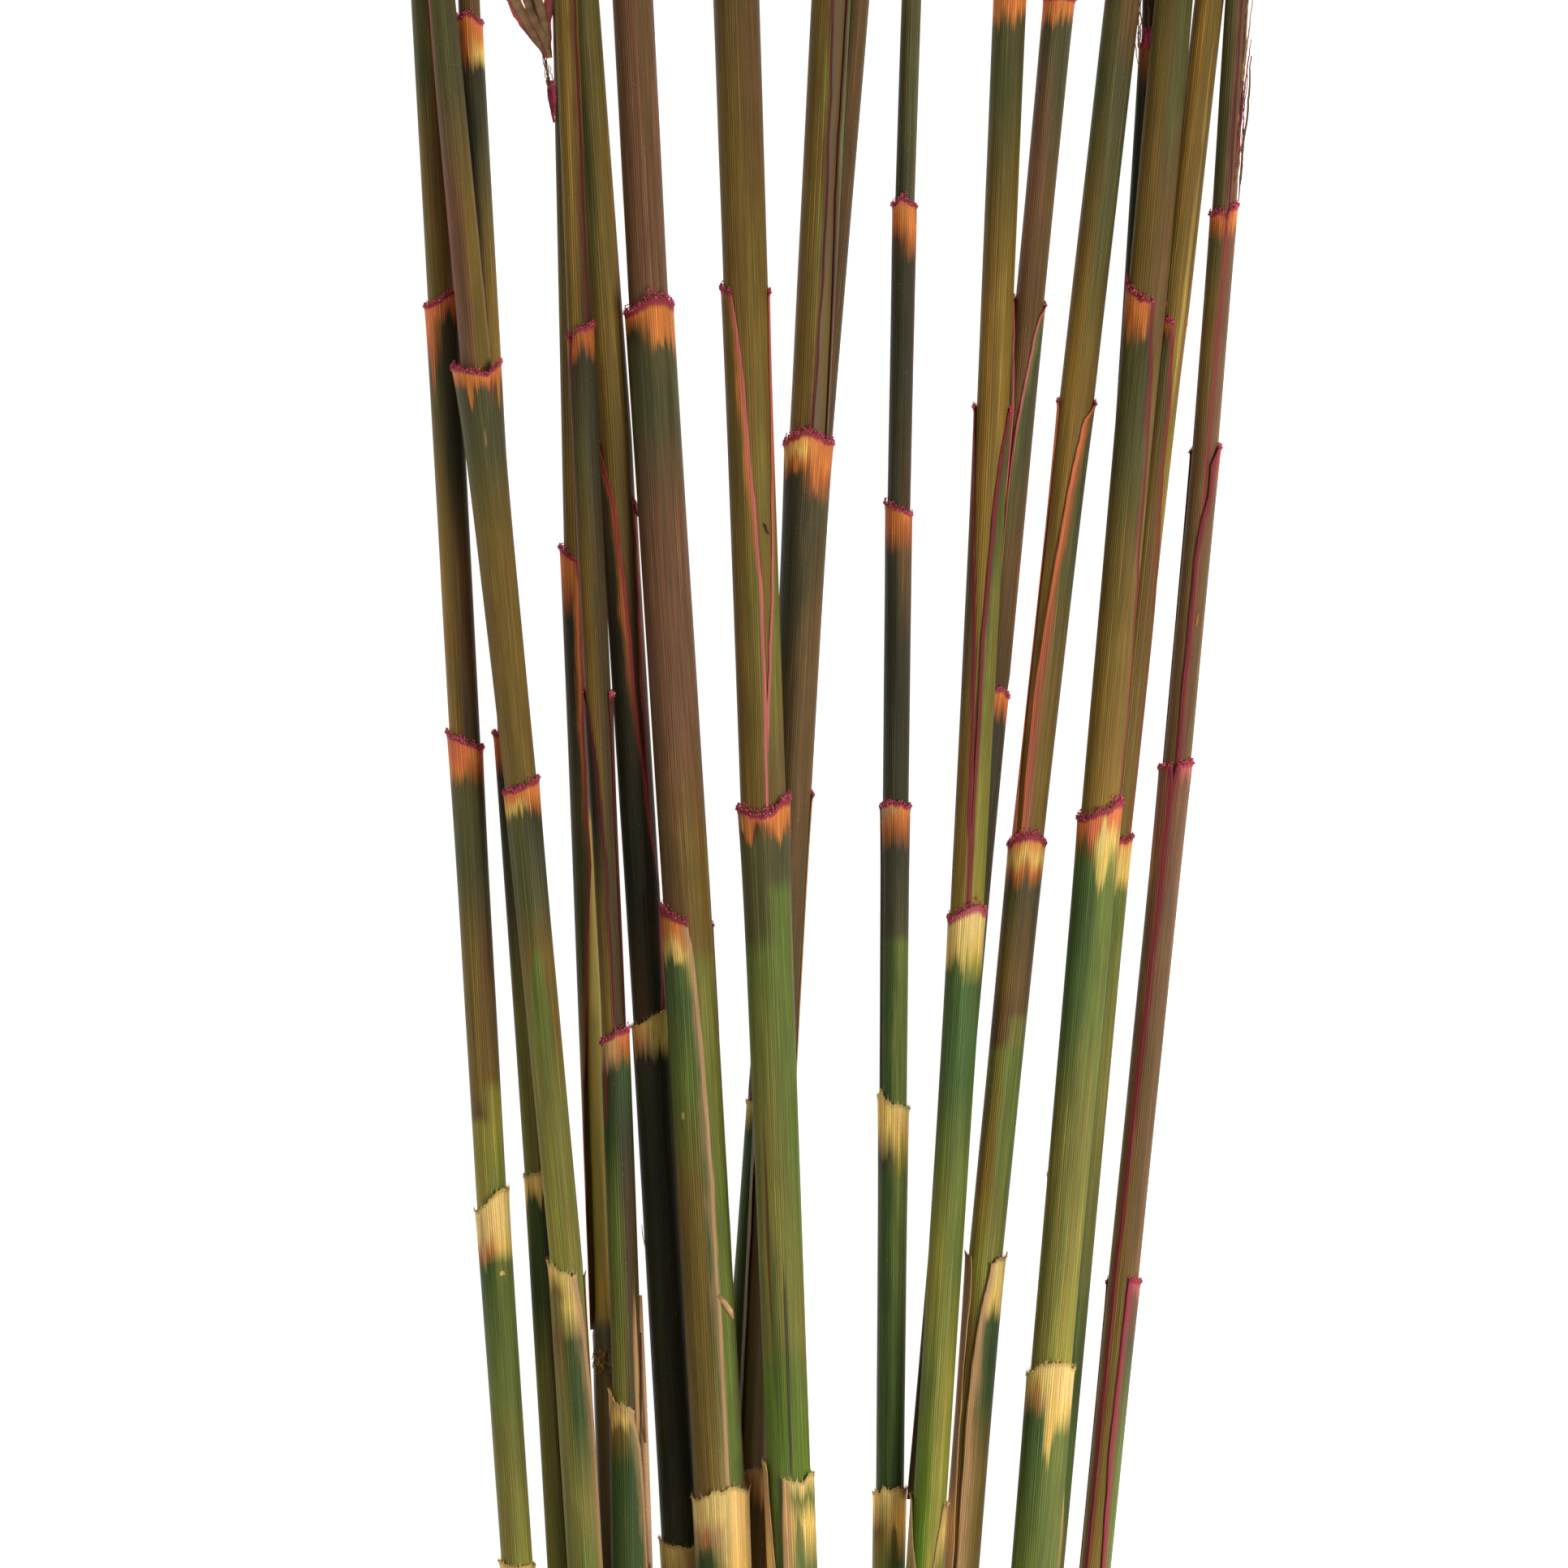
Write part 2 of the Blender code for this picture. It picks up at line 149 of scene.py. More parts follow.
class Wire:
    """A material's socket that takes part in Python sums. Each sum adds its Math node."""

    def __init__(self, tree, socket=None):
        self.tree = tree
        self.socket = socket

    def node(self, kind, sockets, output=0, stops=(), **settings):
        """Adds a node with its settings, a ramp's stops, and the values or wires of its sockets."""
        node = self.tree.nodes.new(kind)
        for key, value in settings.items():
            setattr(node, key, value)
        if stops:
            elements = node.color_ramp.elements
            for element, (place, colour) in zip(elements, (stops[0], stops[-1])):
                element.position, element.color = place, (*colour, 1)
            for place, colour in stops[1:-1]:
                elements.new(place).color = (*colour, 1)
        for key, value in sockets.items():
            self.feed(node.inputs[key], value)
        return Wire(self.tree, node.outputs[output])

    def feed(self, socket, value):
        if isinstance(value, Wire):
            self.tree.links.new(value.socket, socket)
        elif isinstance(value, tuple) and socket.type == "RGBA":
            socket.default_value = (*value, 1)
        else:
            socket.default_value = value

    def __add__(self, other):
        return self.node("ShaderNodeMath", {0: self, 1: other}, operation="ADD")

    def __sub__(self, other):
        return self.node("ShaderNodeMath", {0: self, 1: other}, operation="SUBTRACT")

    def __rsub__(self, other):
        return self.node("ShaderNodeMath", {0: other, 1: self}, operation="SUBTRACT")

    def __mul__(self, other):
        return self.node("ShaderNodeMath", {0: self, 1: other}, operation="MULTIPLY")

    def wave(self):
        return self.node("ShaderNodeMath", {0: self}, operation="SINE")

    def between(self, low, high):
        """0 at low and beyond it, 1 at high and beyond it, smoothly."""
        return self.node("ShaderNodeMapRange", {0: self, 1: low, 2: high}, interpolation_type="SMOOTHSTEP")

    def mix(self, first, second):
        """The colour first where this is 0, and second where it is 1."""
        return self.node("ShaderNodeMix", {0: self, 6: first, 7: second}, output=2, data_type="RGBA")

    def grey(self):
        return self.node("ShaderNodeCombineColor", {0: self, 1: self, 2: self})

    def times(self, factor):
        """This colour times a colour, or made darker or lighter by a number."""
        if isinstance(factor, Wire) and factor.socket.type == "VALUE":
            factor = factor.grey()
        elif not isinstance(factor, (Wire, tuple)):
            factor = (factor, factor, factor)
        return self.node("ShaderNodeMix", {0: 1.0, 6: self, 7: factor}, output=2, data_type="RGBA",
                         blend_type="MULTIPLY")

    def read(self, name, output="Fac"):
        return self.node("ShaderNodeAttribute", {}, output=output, attribute_name=name)

    def clouds(self, across_by, along_by, seed, detail=3.0, roughness=0.6):
        """Noise over a reed's skin, stretched by the two scales."""
        around, below = self.read("around"), self.read("below")
        where = self.node("ShaderNodeCombineXYZ", {0: around * across_by, 1: below * along_by, 2: seed})
        return self.node("ShaderNodeTexNoise", {"Vector": where, "Scale": 1.0, "Detail": detail,
                                                "Roughness": roughness})


def new_material(name):
    material = bpy.data.materials.new(name)
    material.use_nodes = True
    return material, Wire(material.node_tree), material.node_tree.nodes["Principled BSDF"].inputs


def culm_material():
    """Waxy brown or olive stem, golden and brightened with painted light where reed 4 shows it, grey at the joint
    and pale inside the bore.
    """
    material, wire, inputs = new_material("Culm")
    streaks = wire.clouds(2.2, 0.02, 4.0)
    slow = wire.clouds(0.3, 0.02, 9.0, 2.0).between(0.35, 0.65)
    covered = slow.mix(srgb(112, 84, 52), srgb(124, 100, 48))
    # Reed 4's uncovered stretch: its gold is brightened as painted light, where the higher reeds beside it shade it.
    bare_and_lit = slow.mix(srgb(206, 170, 68), srgb(176, 160, 62))
    colour = wire.read("fresh").mix(covered, bare_and_lit)
    colour = wire.read("joint").mix(colour, srgb(104, 98, 76))
    colour = colour.times(streaks * 0.6 + 0.65)
    colour = wire.read("inside").mix(colour, srgb(220, 188, 122))
    wire.feed(inputs["Base Color"], colour)
    wire.feed(inputs["Roughness"], streaks * 0.2 + 0.35)
    wire.feed(inputs["Normal"], wire.node("ShaderNodeBump", {"Strength": 0.4, "Distance": 0.1 * MM,
                                                             "Height": streaks}))
    return material


def make_culm(stem):
    """A tube open at both cuts: down into the upper bore, along the outside, and up into the lower bore."""
    outer = stem.culm
    low = FOUR_CULM if stem.number == FOUR else outer
    joint = along(FOUR_JOINT)
    profile = [(stem.top - BORE_DEPTH, outer * BORE_END), (stem.top - CUT, outer * BORE),
               (stem.top, outer * BORE_MOUTH), (stem.top, outer * CUT_BEVEL), (stem.top - CUT, outer)]
    for i in range(1, STEPS):
        y = stem.top + (stem.bottom - stem.top) * i / STEPS
        radius = outer
        if stem.number == FOUR:
            radius += (low - outer) / (1 + math.exp((y - joint) / (4 * MM)))
            radius += 0.5 * MM * math.exp(-((y - joint) / (3 * MM)) ** 2)
        profile.append((y, radius))
    profile += [(stem.bottom + CUT, low), (stem.bottom, low * CUT_BEVEL), (stem.bottom, low * BORE_MOUTH),
                (stem.bottom + CUT, low * BORE), (stem.bottom + BORE_DEPTH, low * BORE_END)]
    mesh = bmesh.new()
    bmesh.ops.create_grid(mesh, x_segments=SIDES, y_segments=len(profile) - 1, size=1.0)
    layer = {name: mesh.verts.layers.float.new(name) for name in ("around", "below", "inside", "fresh", "joint")}
    for vertex in mesh.verts:
        turn = math.pi * (vertex.co.x + 1)
        row = round((1 - vertex.co.y) / 2 * (len(profile) - 1))
        y, radius = profile[row]
        x, z = stem.centre(y)
        vertex.co = (x + radius * math.cos(turn), y, z + radius * math.sin(turn))
        vertex[layer["around"]] = turn * outer / MM
        vertex[layer["below"]] = (stem.top - y) / MM
        vertex[layer["inside"]] = float(row < 3 or row > len(profile) - 4)
        vertex[layer["fresh"]] = float(stem.number == FOUR and along(FOUR_BARE[1]) < y < along(FOUR_BARE[0]))
        vertex[layer["joint"]] = math.exp(-((y - joint) / (4 * MM)) ** 4) if stem.number == FOUR else 0.0
    bmesh.ops.remove_doubles(mesh, verts=mesh.verts, dist=0.01 * MM)
    bmesh.ops.holes_fill(mesh, edges=mesh.edges, sides=SIDES + 2)
    bmesh.ops.recalc_face_normals(mesh, faces=mesh.faces)
    return finish(f"reed_{stem.number:02d}_stem", mesh, culm_skin)


def finish(name, mesh, material):
    """Makes a piece of a mesh, smooth but for its sharp corners, riding on the bunch."""
    data = bpy.data.meshes.new(name)
    mesh.to_mesh(data)
    mesh.free()
    data.shade_smooth()
    data.set_sharp_from_angle(angle=math.radians(50))
    data.materials.append(material)
    piece = bpy.data.objects.new(name, data)
    bpy.context.scene.collection.objects.link(piece)
    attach(piece, "root")
    return piece


stems = [Stem(number) for number in range(1, 19)]
culm_skin = culm_material()
for stem in stems:
    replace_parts(make_culm(stem), stem.node)


# Leaf sheaths: ribbed, streaked sheets rolled around the culms, each inside the next one down. Below its collar a
# sheath is orange or cream, frays in tongues into dark green, and goes brown or olive. The margins are red or tan.
# Their colours also hold painted light and shade: a lit side paler, a shaded side darker, and darker rows where a
# reed lies in the shade of a higher one.
SHEET = 0.18 * MM
TUCK = 18 * MM
WIDER = 0.1 * MM
NEST = 0.44 * MM
COLUMN = 0.42 * MM
OFF_TABLE = 0.02 * MM
VEIN_SPACING = 0.6
COLLAR_ROWS = (0.0, 0.35, 0.8, 1.4, 2.2, 3.2, 4.5, 6.5, 9.0, 12.0)
ROW = 5.0
BACK = 270
CRIMSON = srgb(168, 48, 72)
MAGENTA = srgb(208, 78, 108)
PINK = srgb(214, 112, 108)
RED = srgb(158, 56, 54)
MAROON = srgb(96, 34, 36)
SALMON = srgb(228, 122, 80)
ORANGE = srgb(222, 132, 68)
AMBER = srgb(184, 104, 52)
CREAM = srgb(243, 208, 136)
STRAW = srgb(232, 196, 112)
TAN = srgb(198, 154, 108)
# DARK is the dark green below many collars; with COAL it is also painted shade on reeds lying in others' shade.
DARK = srgb(62, 60, 42)
COAL = srgb(46, 46, 30)
SAGE = srgb(86, 82, 54)
MOSS = srgb(92, 90, 52)
OLIVE = srgb(124, 100, 48)
BROWN = srgb(112, 84, 52)
UMBER = srgb(78, 60, 36)
MAUVE = srgb(124, 88, 66)
GARNET = srgb(132, 42, 50)
MUSTARD = srgb(146, 114, 52)
LIME = srgb(150, 144, 62)
FERN = srgb(127, 122, 60)
GREEN = srgb(106, 119, 55)
PINE = srgb(80, 104, 58)
FIR = srgb(62, 82, 40)
GRASS = srgb(100, 130, 36)


class Look(NamedTuple):
    """One sheath as the photograph shows it, in pixels of the photograph."""

    rim: tuple  # points along the collar's edge, from left to right
    slit: object  # where the margins meet: an angle, or a path in the photograph
    # The colours at the left and the right also carry painted light and shade: a lit side paler, a shaded side
    # darker.
    colours: tuple  # rows downwards, each with one colour or with those at the left and the right
    gap: tuple = ()  # the left and the right margin, each an angle or a path, where they stand apart
    over: str = "left"  # the margin that lies outside the other
    foot: float = 0.0  # the row where the sheath ends, if it reaches further than usual into the next
    lip: tuple = CRIMSON
    edge: tuple = RED
    fringe: tuple = ()  # colour of the sheet beside its margin line, if it differs
    torn: float = 1.0  # how ragged the collar is
    hem: float = 0.45  # width of the coloured line along the margins, in millimetres
    crust: float = 1.3  # how high the crumbs stand above the collar, in millimetres
    turn: float = 0.05  # where the left colours give way to the right ones, from -1 to 1
    patches: tuple = ()  # spots of colour: column, row, half width, half length, colour, strength


LOOKS = {
    1: (
        Look((), 240, ((-110, MOSS, OLIVE), (80, MOSS, OLIVE), (190, OLIVE, BROWN), (380, OLIVE))),
        # Reed 1's second sheath: DARK, then BROWN and UMBER, down its right side are painted shade along that side.
        Look(((528, 378), (541, 372), (556, 359)), 240, ((378, SALMON), (390, ORANGE, AMBER), (400, ORANGE, DARK),
            (430, AMBER, DARK), (460, MOSS, DARK), (580, OLIVE, DARK), (700, MUSTARD, BROWN), (910, MUSTARD, UMBER)),
            turn=-0.25, patches=((533, 440, 4, 60, SALMON, 0.7),)),
        Look(((546, 899), (566, 912), (587, 921)), 300, ((900, SALMON), (932, SALMON, ORANGE), (950, ORANGE, AMBER),
            (970, MOSS, SAGE), (1080, MOSS, SAGE), (1170, OLIVE, BROWN), (1328, OLIVE), (1346, OLIVE, LIME),
            (1374, BROWN, LIME), (1388, LIME), (1480, LIME, GREEN))),
        Look(((590, 1491), (604, 1477), (620, 1462), (633, 1463)), 240, ((1480, CREAM), (1512, CREAM),
            (1540, AMBER, STRAW), (1556, FIR, GREEN), (1700, GREEN), (1800, FERN), (1932, FERN, LIME)), lip=STRAW,
            edge=TAN, torn=1.6, patches=((595, 1520, 4, 40, TAN, 0.8), (620, 1569, 4, 3, STRAW, 0.8))),
        Look(((617, 1922), (634, 1930), (655, 1926)), 300, ((1924, CREAM), (1960, CREAM), (2000, GREEN),
            (2100, FERN, GREEN)), lip=STRAW, edge=TAN, torn=1.6),
    ),
    2: (
        Look((), ((529, -100), (531, 0), (540, 140), (549, 260), (557, 340), (567, 440)), ((-130, MOSS, SAGE),
            (100, MOSS, SAGE), (250, MAUVE, OLIVE), (460, MAUVE, OLIVE)), over="right", edge=RED, hem=0.6),
        Look(((562, 455), (580, 459), (601, 463), (613, 452), (625, 441)), 300, ((455, ORANGE, PINK), (462, ORANGE),
            (472, AMBER), (480, SAGE), (560, MOSS, SAGE), (660, OLIVE), (980, OLIVE)),
            patches=((580, 482, 5, 18, ORANGE, 0.9), (616, 478, 4, 24, ORANGE, 0.9), (608, 478, 2, 22, CRIMSON, 0.6),
            (600, 543, 1.5, 12, TAN, 0.5))),
        Look(((621, 977), (645, 971), (666, 959)), 240, ((966, SALMON, ORANGE), (980, ORANGE), (992, STRAW, AMBER),
            (1006, MOSS, DARK), (1110, MOSS, SAGE), (1180, OLIVE), (1280, FERN, OLIVE), (1360, FERN),
            (1560, LIME, FERN)), foot=2100, patches=((668, 1262, 15, 92, GREEN, 0.9),
            (664, 1190, 8, 26, GREEN, 0.8))),
        Look(((667, 1540), (674, 1553), (690, 1565), (711, 1568)), 0, ((1550, CREAM), (1568, STRAW),
            (1592, OLIVE, STRAW), (1606, FERN, STRAW), (1650, OLIVE, FIR), (1740, FERN, FIR), (1850, FERN),
            (1932, FERN, GREEN)), lip=STRAW, edge=TAN, torn=2.2, hem=1.4, turn=-0.35, gap=(((711, 1568), (719, 1609),
            (727, 1680), (735, 1762), (744, 1864), (750, 1950)), 5)),
    ),
    3: (
        Look((), BACK, ((-100, BROWN), (25, BROWN))),
        Look(((562, 24), (578, 16), (594, 30)), BACK, ((20, ORANGE, SALMON), (45, AMBER, ORANGE), (68, AMBER, STRAW),
            (88, DARK), (190, COAL, SAGE), (330, UMBER, OLIVE), (440, UMBER, MUSTARD), (900, BROWN, UMBER))),
        Look(((600, 903), (625, 905)), BACK, ((905, SALMON), (935, AMBER, UMBER), (960, DARK), (1120, SAGE, DARK),
            (1250, FERN, UMBER), (1450, FERN, UMBER))),
        Look(((648, 1447), (675, 1444)), BACK, ((1446, CREAM), (1468, STRAW), (1485, FIR, DARK), (1600, FIR, COAL),
            (1700, FERN, UMBER), (1932, FERN, UMBER)), lip=STRAW, edge=TAN),
    ),
    # Reeds 4 and 5 lie partly in the shade of higher reeds; their darker rows are partly painted shade.
    4: (
        Look((), BACK, ((-100, BROWN), (150, SAGE, BROWN), (680, OLIVE, BROWN))),
        Look(((687, 671), (700, 684), (713, 692)), 0, ((676, SALMON, RED), (705, ORANGE, RED), (730, AMBER, ORANGE),
            (765, DARK, AMBER), (850, DARK, AMBER), (1000, SAGE, UMBER), (1200, MOSS, UMBER), (1330, FERN, UMBER),
            (1626, OLIVE, UMBER)), hem=0.7, fringe=ORANGE, foot=1638, gap=(((713, 692), (716, 720), (720, 860),
            (724, 980), (729, 1060), (724, 1200), (721, 1300), (720, 1400), (722, 1638)), -20)),
    ),
    5: (
        Look((), ((704, -110), (707, 0), (714, 150), (720, 300), (725, 395)), ((-130, OLIVE), (100, MUSTARD, OLIVE),
            (410, MUSTARD, UMBER)), edge=MAROON, hem=0.8),
        Look(((702, 416), (718, 407), (735, 401)), ((704, 420), (706, 480), (709, 560), (714, 700), (722, 850)),
            ((408, AMBER), (426, AMBER), (448, DARK), (560, MOSS, DARK), (700, OLIVE, UMBER), (860, OLIVE, UMBER)),
            over="right", foot=1290),
        Look(((719, 853), (735, 850), (751, 856)), 90, ((856, MAROON), (880, DARK, UMBER), (1000, COAL, UMBER),
            (1180, OLIVE, UMBER), (1290, MUSTARD, UMBER)), edge=MAROON, hem=0.7, gap=(((719, 856), (727, 885),
            (735, 925), (742, 985), (748, 1050), (754, 1150), (762, 1290)), ((751, 858), (755, 900), (759, 1000),
            (765, 1120), (770, 1220), (774, 1300)))),
        Look(((744, 1284), (760, 1272), (777, 1265)), BACK, ((1274, TAN, SALMON), (1296, TAN, AMBER),
            (1318, DARK, FIR), (1400, FIR, DARK), (1500, GREEN, UMBER), (1720, FERN, UMBER)), foot=2110,
            patches=((746, 1330, 2.5, 60, RED, 0.9), (786, 1690, 4, 95, TAN, 0.9))),
        Look(((750, 1707), (758, 1722), (772, 1732), (783, 1733)), 0, ((1715, TAN), (1742, STRAW, TAN),
            (1758, OLIVE, GREEN), (1800, FIR), (1932, FIR)), lip=STRAW, edge=TAN, torn=1.8, hem=0.9,
            gap=(((783, 1735), (790, 1780), (795, 1840), (799, 1931)), 0)),
    ),
    # Reed 6: the COAL and DARK rows down its lower half are partly painted shade, from reed 7 beside it.
    6: (
        Look((), BACK, ((-100, MOSS), (200, MOSS, OLIVE), (400, OLIVE), (800, OLIVE, UMBER), (1200, UMBER)),
            foot=1200),
        Look(((735, 552), (750, 549), (768, 590), (784, 645)), 90, ((556, UMBER, MAROON), (620, UMBER),
            (700, DARK, UMBER), (800, COAL, UMBER), (1100, COAL), (1250, UMBER, COAL)), hem=1.0, fringe=AMBER,
            edge=RED, gap=(((739, 554), (757, 612), (771, 712), (784, 850), (800, 1000), (813, 1090), (818, 1240)),
            ((782, 640), (784, 660), (788, 800), (800, 1000), (812, 1100), (820, 1240)))),
        Look(((788, 1262), (806, 1250), (824, 1240)), 240, ((1252, STRAW), (1280, TAN, STRAW), (1304, DARK, COAL),
            (1450, COAL), (1900, DARK, COAL)), lip=STRAW, edge=DARK, torn=1.4),
        Look(((795, 1890), (812, 1893), (832, 1905)), BACK, ((1892, CREAM, TAN), (1925, STRAW, TAN), (1960, DARK),
            (2100, DARK)), lip=STRAW, edge=TAN, torn=2.0),
    ),
    7: (
        Look((), BACK, ((-130, MAUVE, BROWN), (380, MAUVE))),
        Look(((771, 388), (785, 381), (802, 370), (820, 368), (833, 380)), BACK, ((375, SALMON, ORANGE),
            (390, ORANGE), (400, AMBER, ORANGE), (414, DARK, ORANGE), (436, SAGE), (520, SAGE), (640, MAUVE),
            (900, MAUVE), (1050, BROWN, OLIVE), (1165, BROWN, OLIVE), (1190, OLIVE, FERN), (1500, OLIVE, GREEN),
            (1830, OLIVE, GREEN)), foot=1900, torn=1.3, crust=2.3, turn=-0.1,
            patches=((816, 408, 10, 26, ORANGE, 0.9),)),
        Look(((806, 1106), (815, 1120), (830, 1130), (849, 1138)), 0, ((1118, ORANGE, SALMON), (1146, ORANGE, TAN),
            (1168, STRAW), (1188, PINE, STRAW), (1230, PINE), (1340, GREEN, PINE), (1480, OLIVE, GREEN),
            (1620, OLIVE, FIR), (1830, OLIVE, FERN)), edge=TAN, hem=1.0, foot=1960, turn=0.1, crust=2.2,
            gap=(((849, 1138), (854, 1165), (860, 1220), (867, 1290), (874, 1370), (880, 1460), (886, 1560),
            (893, 1680), (900, 1825)), -15), patches=((834, 1172, 8, 16, CREAM, 0.7), (842, 1374, 3, 5, CREAM, 0.5),
            (872, 1440, 6, 300, FIR, 0.8))),
        Look(((856, 1843), (872, 1838), (890, 1833), (908, 1826), (925, 1834)), BACK, ((1836, CREAM), (1862, CREAM),
            (1880, TAN, CREAM), (1930, PINE, STRAW), (2060, GREEN, FERN)), lip=STRAW, edge=TAN, torn=2.2,
            patches=((870, 1893, 6, 20, AMBER, 0.6), (869, 1926, 15, 34, FIR, 1.0), (893, 1940, 6, 20, AMBER, 0.4))),
    ),
    8: (
        Look((), BACK, ((-110, BROWN), (150, OLIVE, BROWN), (300, OLIVE), (600, MUSTARD, OLIVE),
            (950, MUSTARD, OLIVE)), foot=960, patches=((940, 560, 7, 150, FERN, 0.5),)),
        Look(((887, 356), (902, 362), (925, 366), (949, 362)), 90, ((362, AMBER), (380, OLIVE, AMBER),
            (430, OLIVE, AMBER), (600, OLIVE, FERN), (800, OLIVE, FERN), (1000, OLIVE, BROWN)), edge=PINK,
            fringe=ORANGE, hem=0.8, gap=(((901, 364), (906, 392), (912, 430), (918, 480), (924, 558), (930, 620),
            (937, 690), (942, 780), (945, 870), (947, 985)), ((948, 366), (949, 420), (951, 500), (952, 584),
            (952, 680), (950, 780), (946, 860), (940, 985)))),
        Look(((905, 997), (914, 996), (925, 1002), (940, 1006), (955, 998), (962, 987), (973, 984)), BACK,
            ((996, PINK, SALMON), (1008, AMBER, ORANGE), (1020, UMBER, AMBER), (1034, MOSS, SAGE), (1080, MOSS, SAGE),
            (1104, MOSS, GREEN), (1150, MOSS, GREEN), (1176, GREEN), (1400, FERN, GREEN), (1640, FERN),
            (1700, GRASS, GREEN), (1830, GREEN, GRASS)), foot=2110, crust=1.8, turn=0.15,
            patches=((921, 1018, 8, 20, ORANGE, 0.95), (962, 1014, 9, 26, ORANGE, 0.95),
            (914, 1012, 3, 12, STRAW, 0.8), (940, 1022, 3, 18, MAUVE, 0.8), (945, 1490, 3, 130, MAROON, 0.75),
            (971, 1700, 3, 130, DARK, 0.9), (955, 1650, 8, 120, FIR, 0.6))),
        Look(((942, 1796), (962, 1822), (975, 1818), (990, 1822), (1000, 1806), (1006, 1812)), 90,
            ((1815, TAN, CREAM), (1840, TAN, GREEN), (1870, TAN, STRAW), (1932, STRAW, PINE), (2100, GREEN, PINE)),
            lip=STRAW, edge=TAN, torn=2.4, gap=(((944, 1797), (947, 1840), (953, 1900), (957, 1940)), ((964, 1820),
            (963, 1860), (965, 1932), (966, 1990))), patches=((970, 1880, 6, 70, TAN, 0.9),
            (986, 1900, 6, 40, PINE, 0.7))),
    ),
    9: (
        Look((), 60, ((-160, OLIVE, GREEN), (150, OLIVE, GREEN), (330, OLIVE, MOSS), (420, OLIVE), (545, OLIVE)),
            edge=MAROON, hem=0.6, turn=0.1, gap=(((1032, -140), (1028, 0), (1024, 130), (1020, 250), (1012, 390),
            (1003, 520)), ((1052, -140), (1045, 0), (1037, 130), (1030, 250), (1026, 400), (1020, 520)))),
        Look(((964, 550), (975, 540), (993, 531), (1012, 538), (1025, 548)), BACK, ((541, ORANGE, SALMON),
            (556, STRAW, ORANGE), (570, AMBER, ORANGE), (586, DARK, AMBER), (625, DARK, SAGE), (760, DARK, BROWN),
            (900, UMBER, BROWN), (1450, UMBER)), torn=1.3, crust=1.8, foot=1450,
            patches=((1006, 590, 5, 26, ORANGE, 0.9), (980, 570, 4, 14, ORANGE, 0.8))),
        # This sheath's COAL rows and the next one's dark rows are partly painted shade, down the lower part of reed
        # 9.
        Look(((950, 985), (985, 970), (1006, 982)), 0, ((985, AMBER), (1020, UMBER, OLIVE), (1200, UMBER, TAN),
            (1320, UMBER, STRAW), (1400, COAL), (1810, COAL)), edge=TAN, gap=(150, ((1004, 985), (1000, 1060),
            (992, 1180), (985, 1300)))),
        Look(((915, 1812), (932, 1806), (946, 1812)), BACK, ((1810, TAN), (1832, BROWN, TAN), (1858, DARK, UMBER),
            (2100, UMBER)), lip=TAN, edge=TAN, torn=1.6),
    ),
    10: (
        Look((), BACK, ((-110, UMBER, BROWN), (656, UMBER))),
        Look(((970, 656), (1010, 656)), BACK, ((656, AMBER), (700, DARK), (1000, UMBER), (1360, UMBER))),
        Look(((930, 1356), (970, 1356)), BACK, ((1356, STRAW), (1400, FIR), (1990, GREEN)), lip=STRAW, edge=TAN),
    ),
    11: (
        Look((), 14, ((-110, MOSS), (240, DARK, SAGE)), edge=MAROON),
        Look(((1102, 252), (1112, 243), (1131, 256)), 18, ((248, PINK, SALMON), (258, ORANGE), (282, AMBER, ORANGE),
            (300, UMBER, AMBER), (322, DARK), (440, DARK), (625, DARK, UMBER)), edge=MAROON),
        Look(((1090, 620), (1105, 626), (1123, 634)), 16, ((627, AMBER, ORANGE), (650, AMBER), (680, DARK, BROWN),
            (800, COAL, DARK), (985, DARK)), edge=MAROON),
        Look(((1082, 994), (1100, 988), (1120, 994)), 172, ((992, TAN, ORANGE), (1015, AMBER), (1045, DARK),
            (1150, DARK, SAGE), (1162, FIR, GREEN), (1360, FIR, GREEN)), edge=DARK),
        Look(((1080, 1352), (1086, 1343), (1090, 1355), (1105, 1358), (1119, 1365)), BACK, ((1360, STRAW, CREAM),
            (1392, STRAW), (1430, DARK, LIME), (1450, FIR, GREEN), (1560, FIR, GREEN), (1835, FIR)), lip=STRAW,
            edge=TAN, torn=1.8),
        Look(((1073, 1838), (1090, 1832), (1116, 1832)), BACK, ((1834, CREAM), (1880, OLIVE, STRAW),
            (1925, FERN, PINE), (2100, GREEN)), lip=STRAW, edge=TAN, torn=2.2,
            patches=((1102, 1905, 5, 30, FIR, 0.8),)),
    ),
    12: (
        Look((), BACK, ((-120, OLIVE), (-5, OLIVE))),
        Look(((1222, -8), (1242, -10), (1262, -6)), BACK, ((-8, SALMON, ORANGE), (15, ORANGE), (34, MOSS, SAGE),
            (120, MOSS), (260, OLIVE), (380, MUSTARD), (700, MUSTARD), (1000, FERN, OLIVE)), foot=1110),
        Look(((1199, 503), (1220, 498), (1244, 507)), 90, ((505, PINK, AMBER), (530, OLIVE, MOSS),
            (620, BROWN, GREEN), (760, BROWN, FERN), (900, OLIVE, FERN), (1120, MUSTARD, LIME)), edge=GARNET,
            fringe=MOSS, hem=1.2, gap=(((1200, 504), (1199, 640), (1202, 780), (1201, 870), (1197, 1000),
            (1195, 1115)), ((1243, 509), (1232, 560), (1222, 640), (1214, 720), (1208, 780), (1204, 865),
            (1196, 1000), (1190, 1115)))),
        Look(((1172, 1132), (1186, 1122), (1202, 1114), (1219, 1126)), BACK, ((1122, CREAM), (1150, CREAM),
            (1172, STRAW), (1196, PINE, LIME), (1215, PINE), (1330, PINE), (1430, GREEN), (1560, LIME, GREEN),
            (1700, GREEN, LIME), (1850, GRASS, LIME)), lip=MAGENTA, foot=2130, crust=2.2),
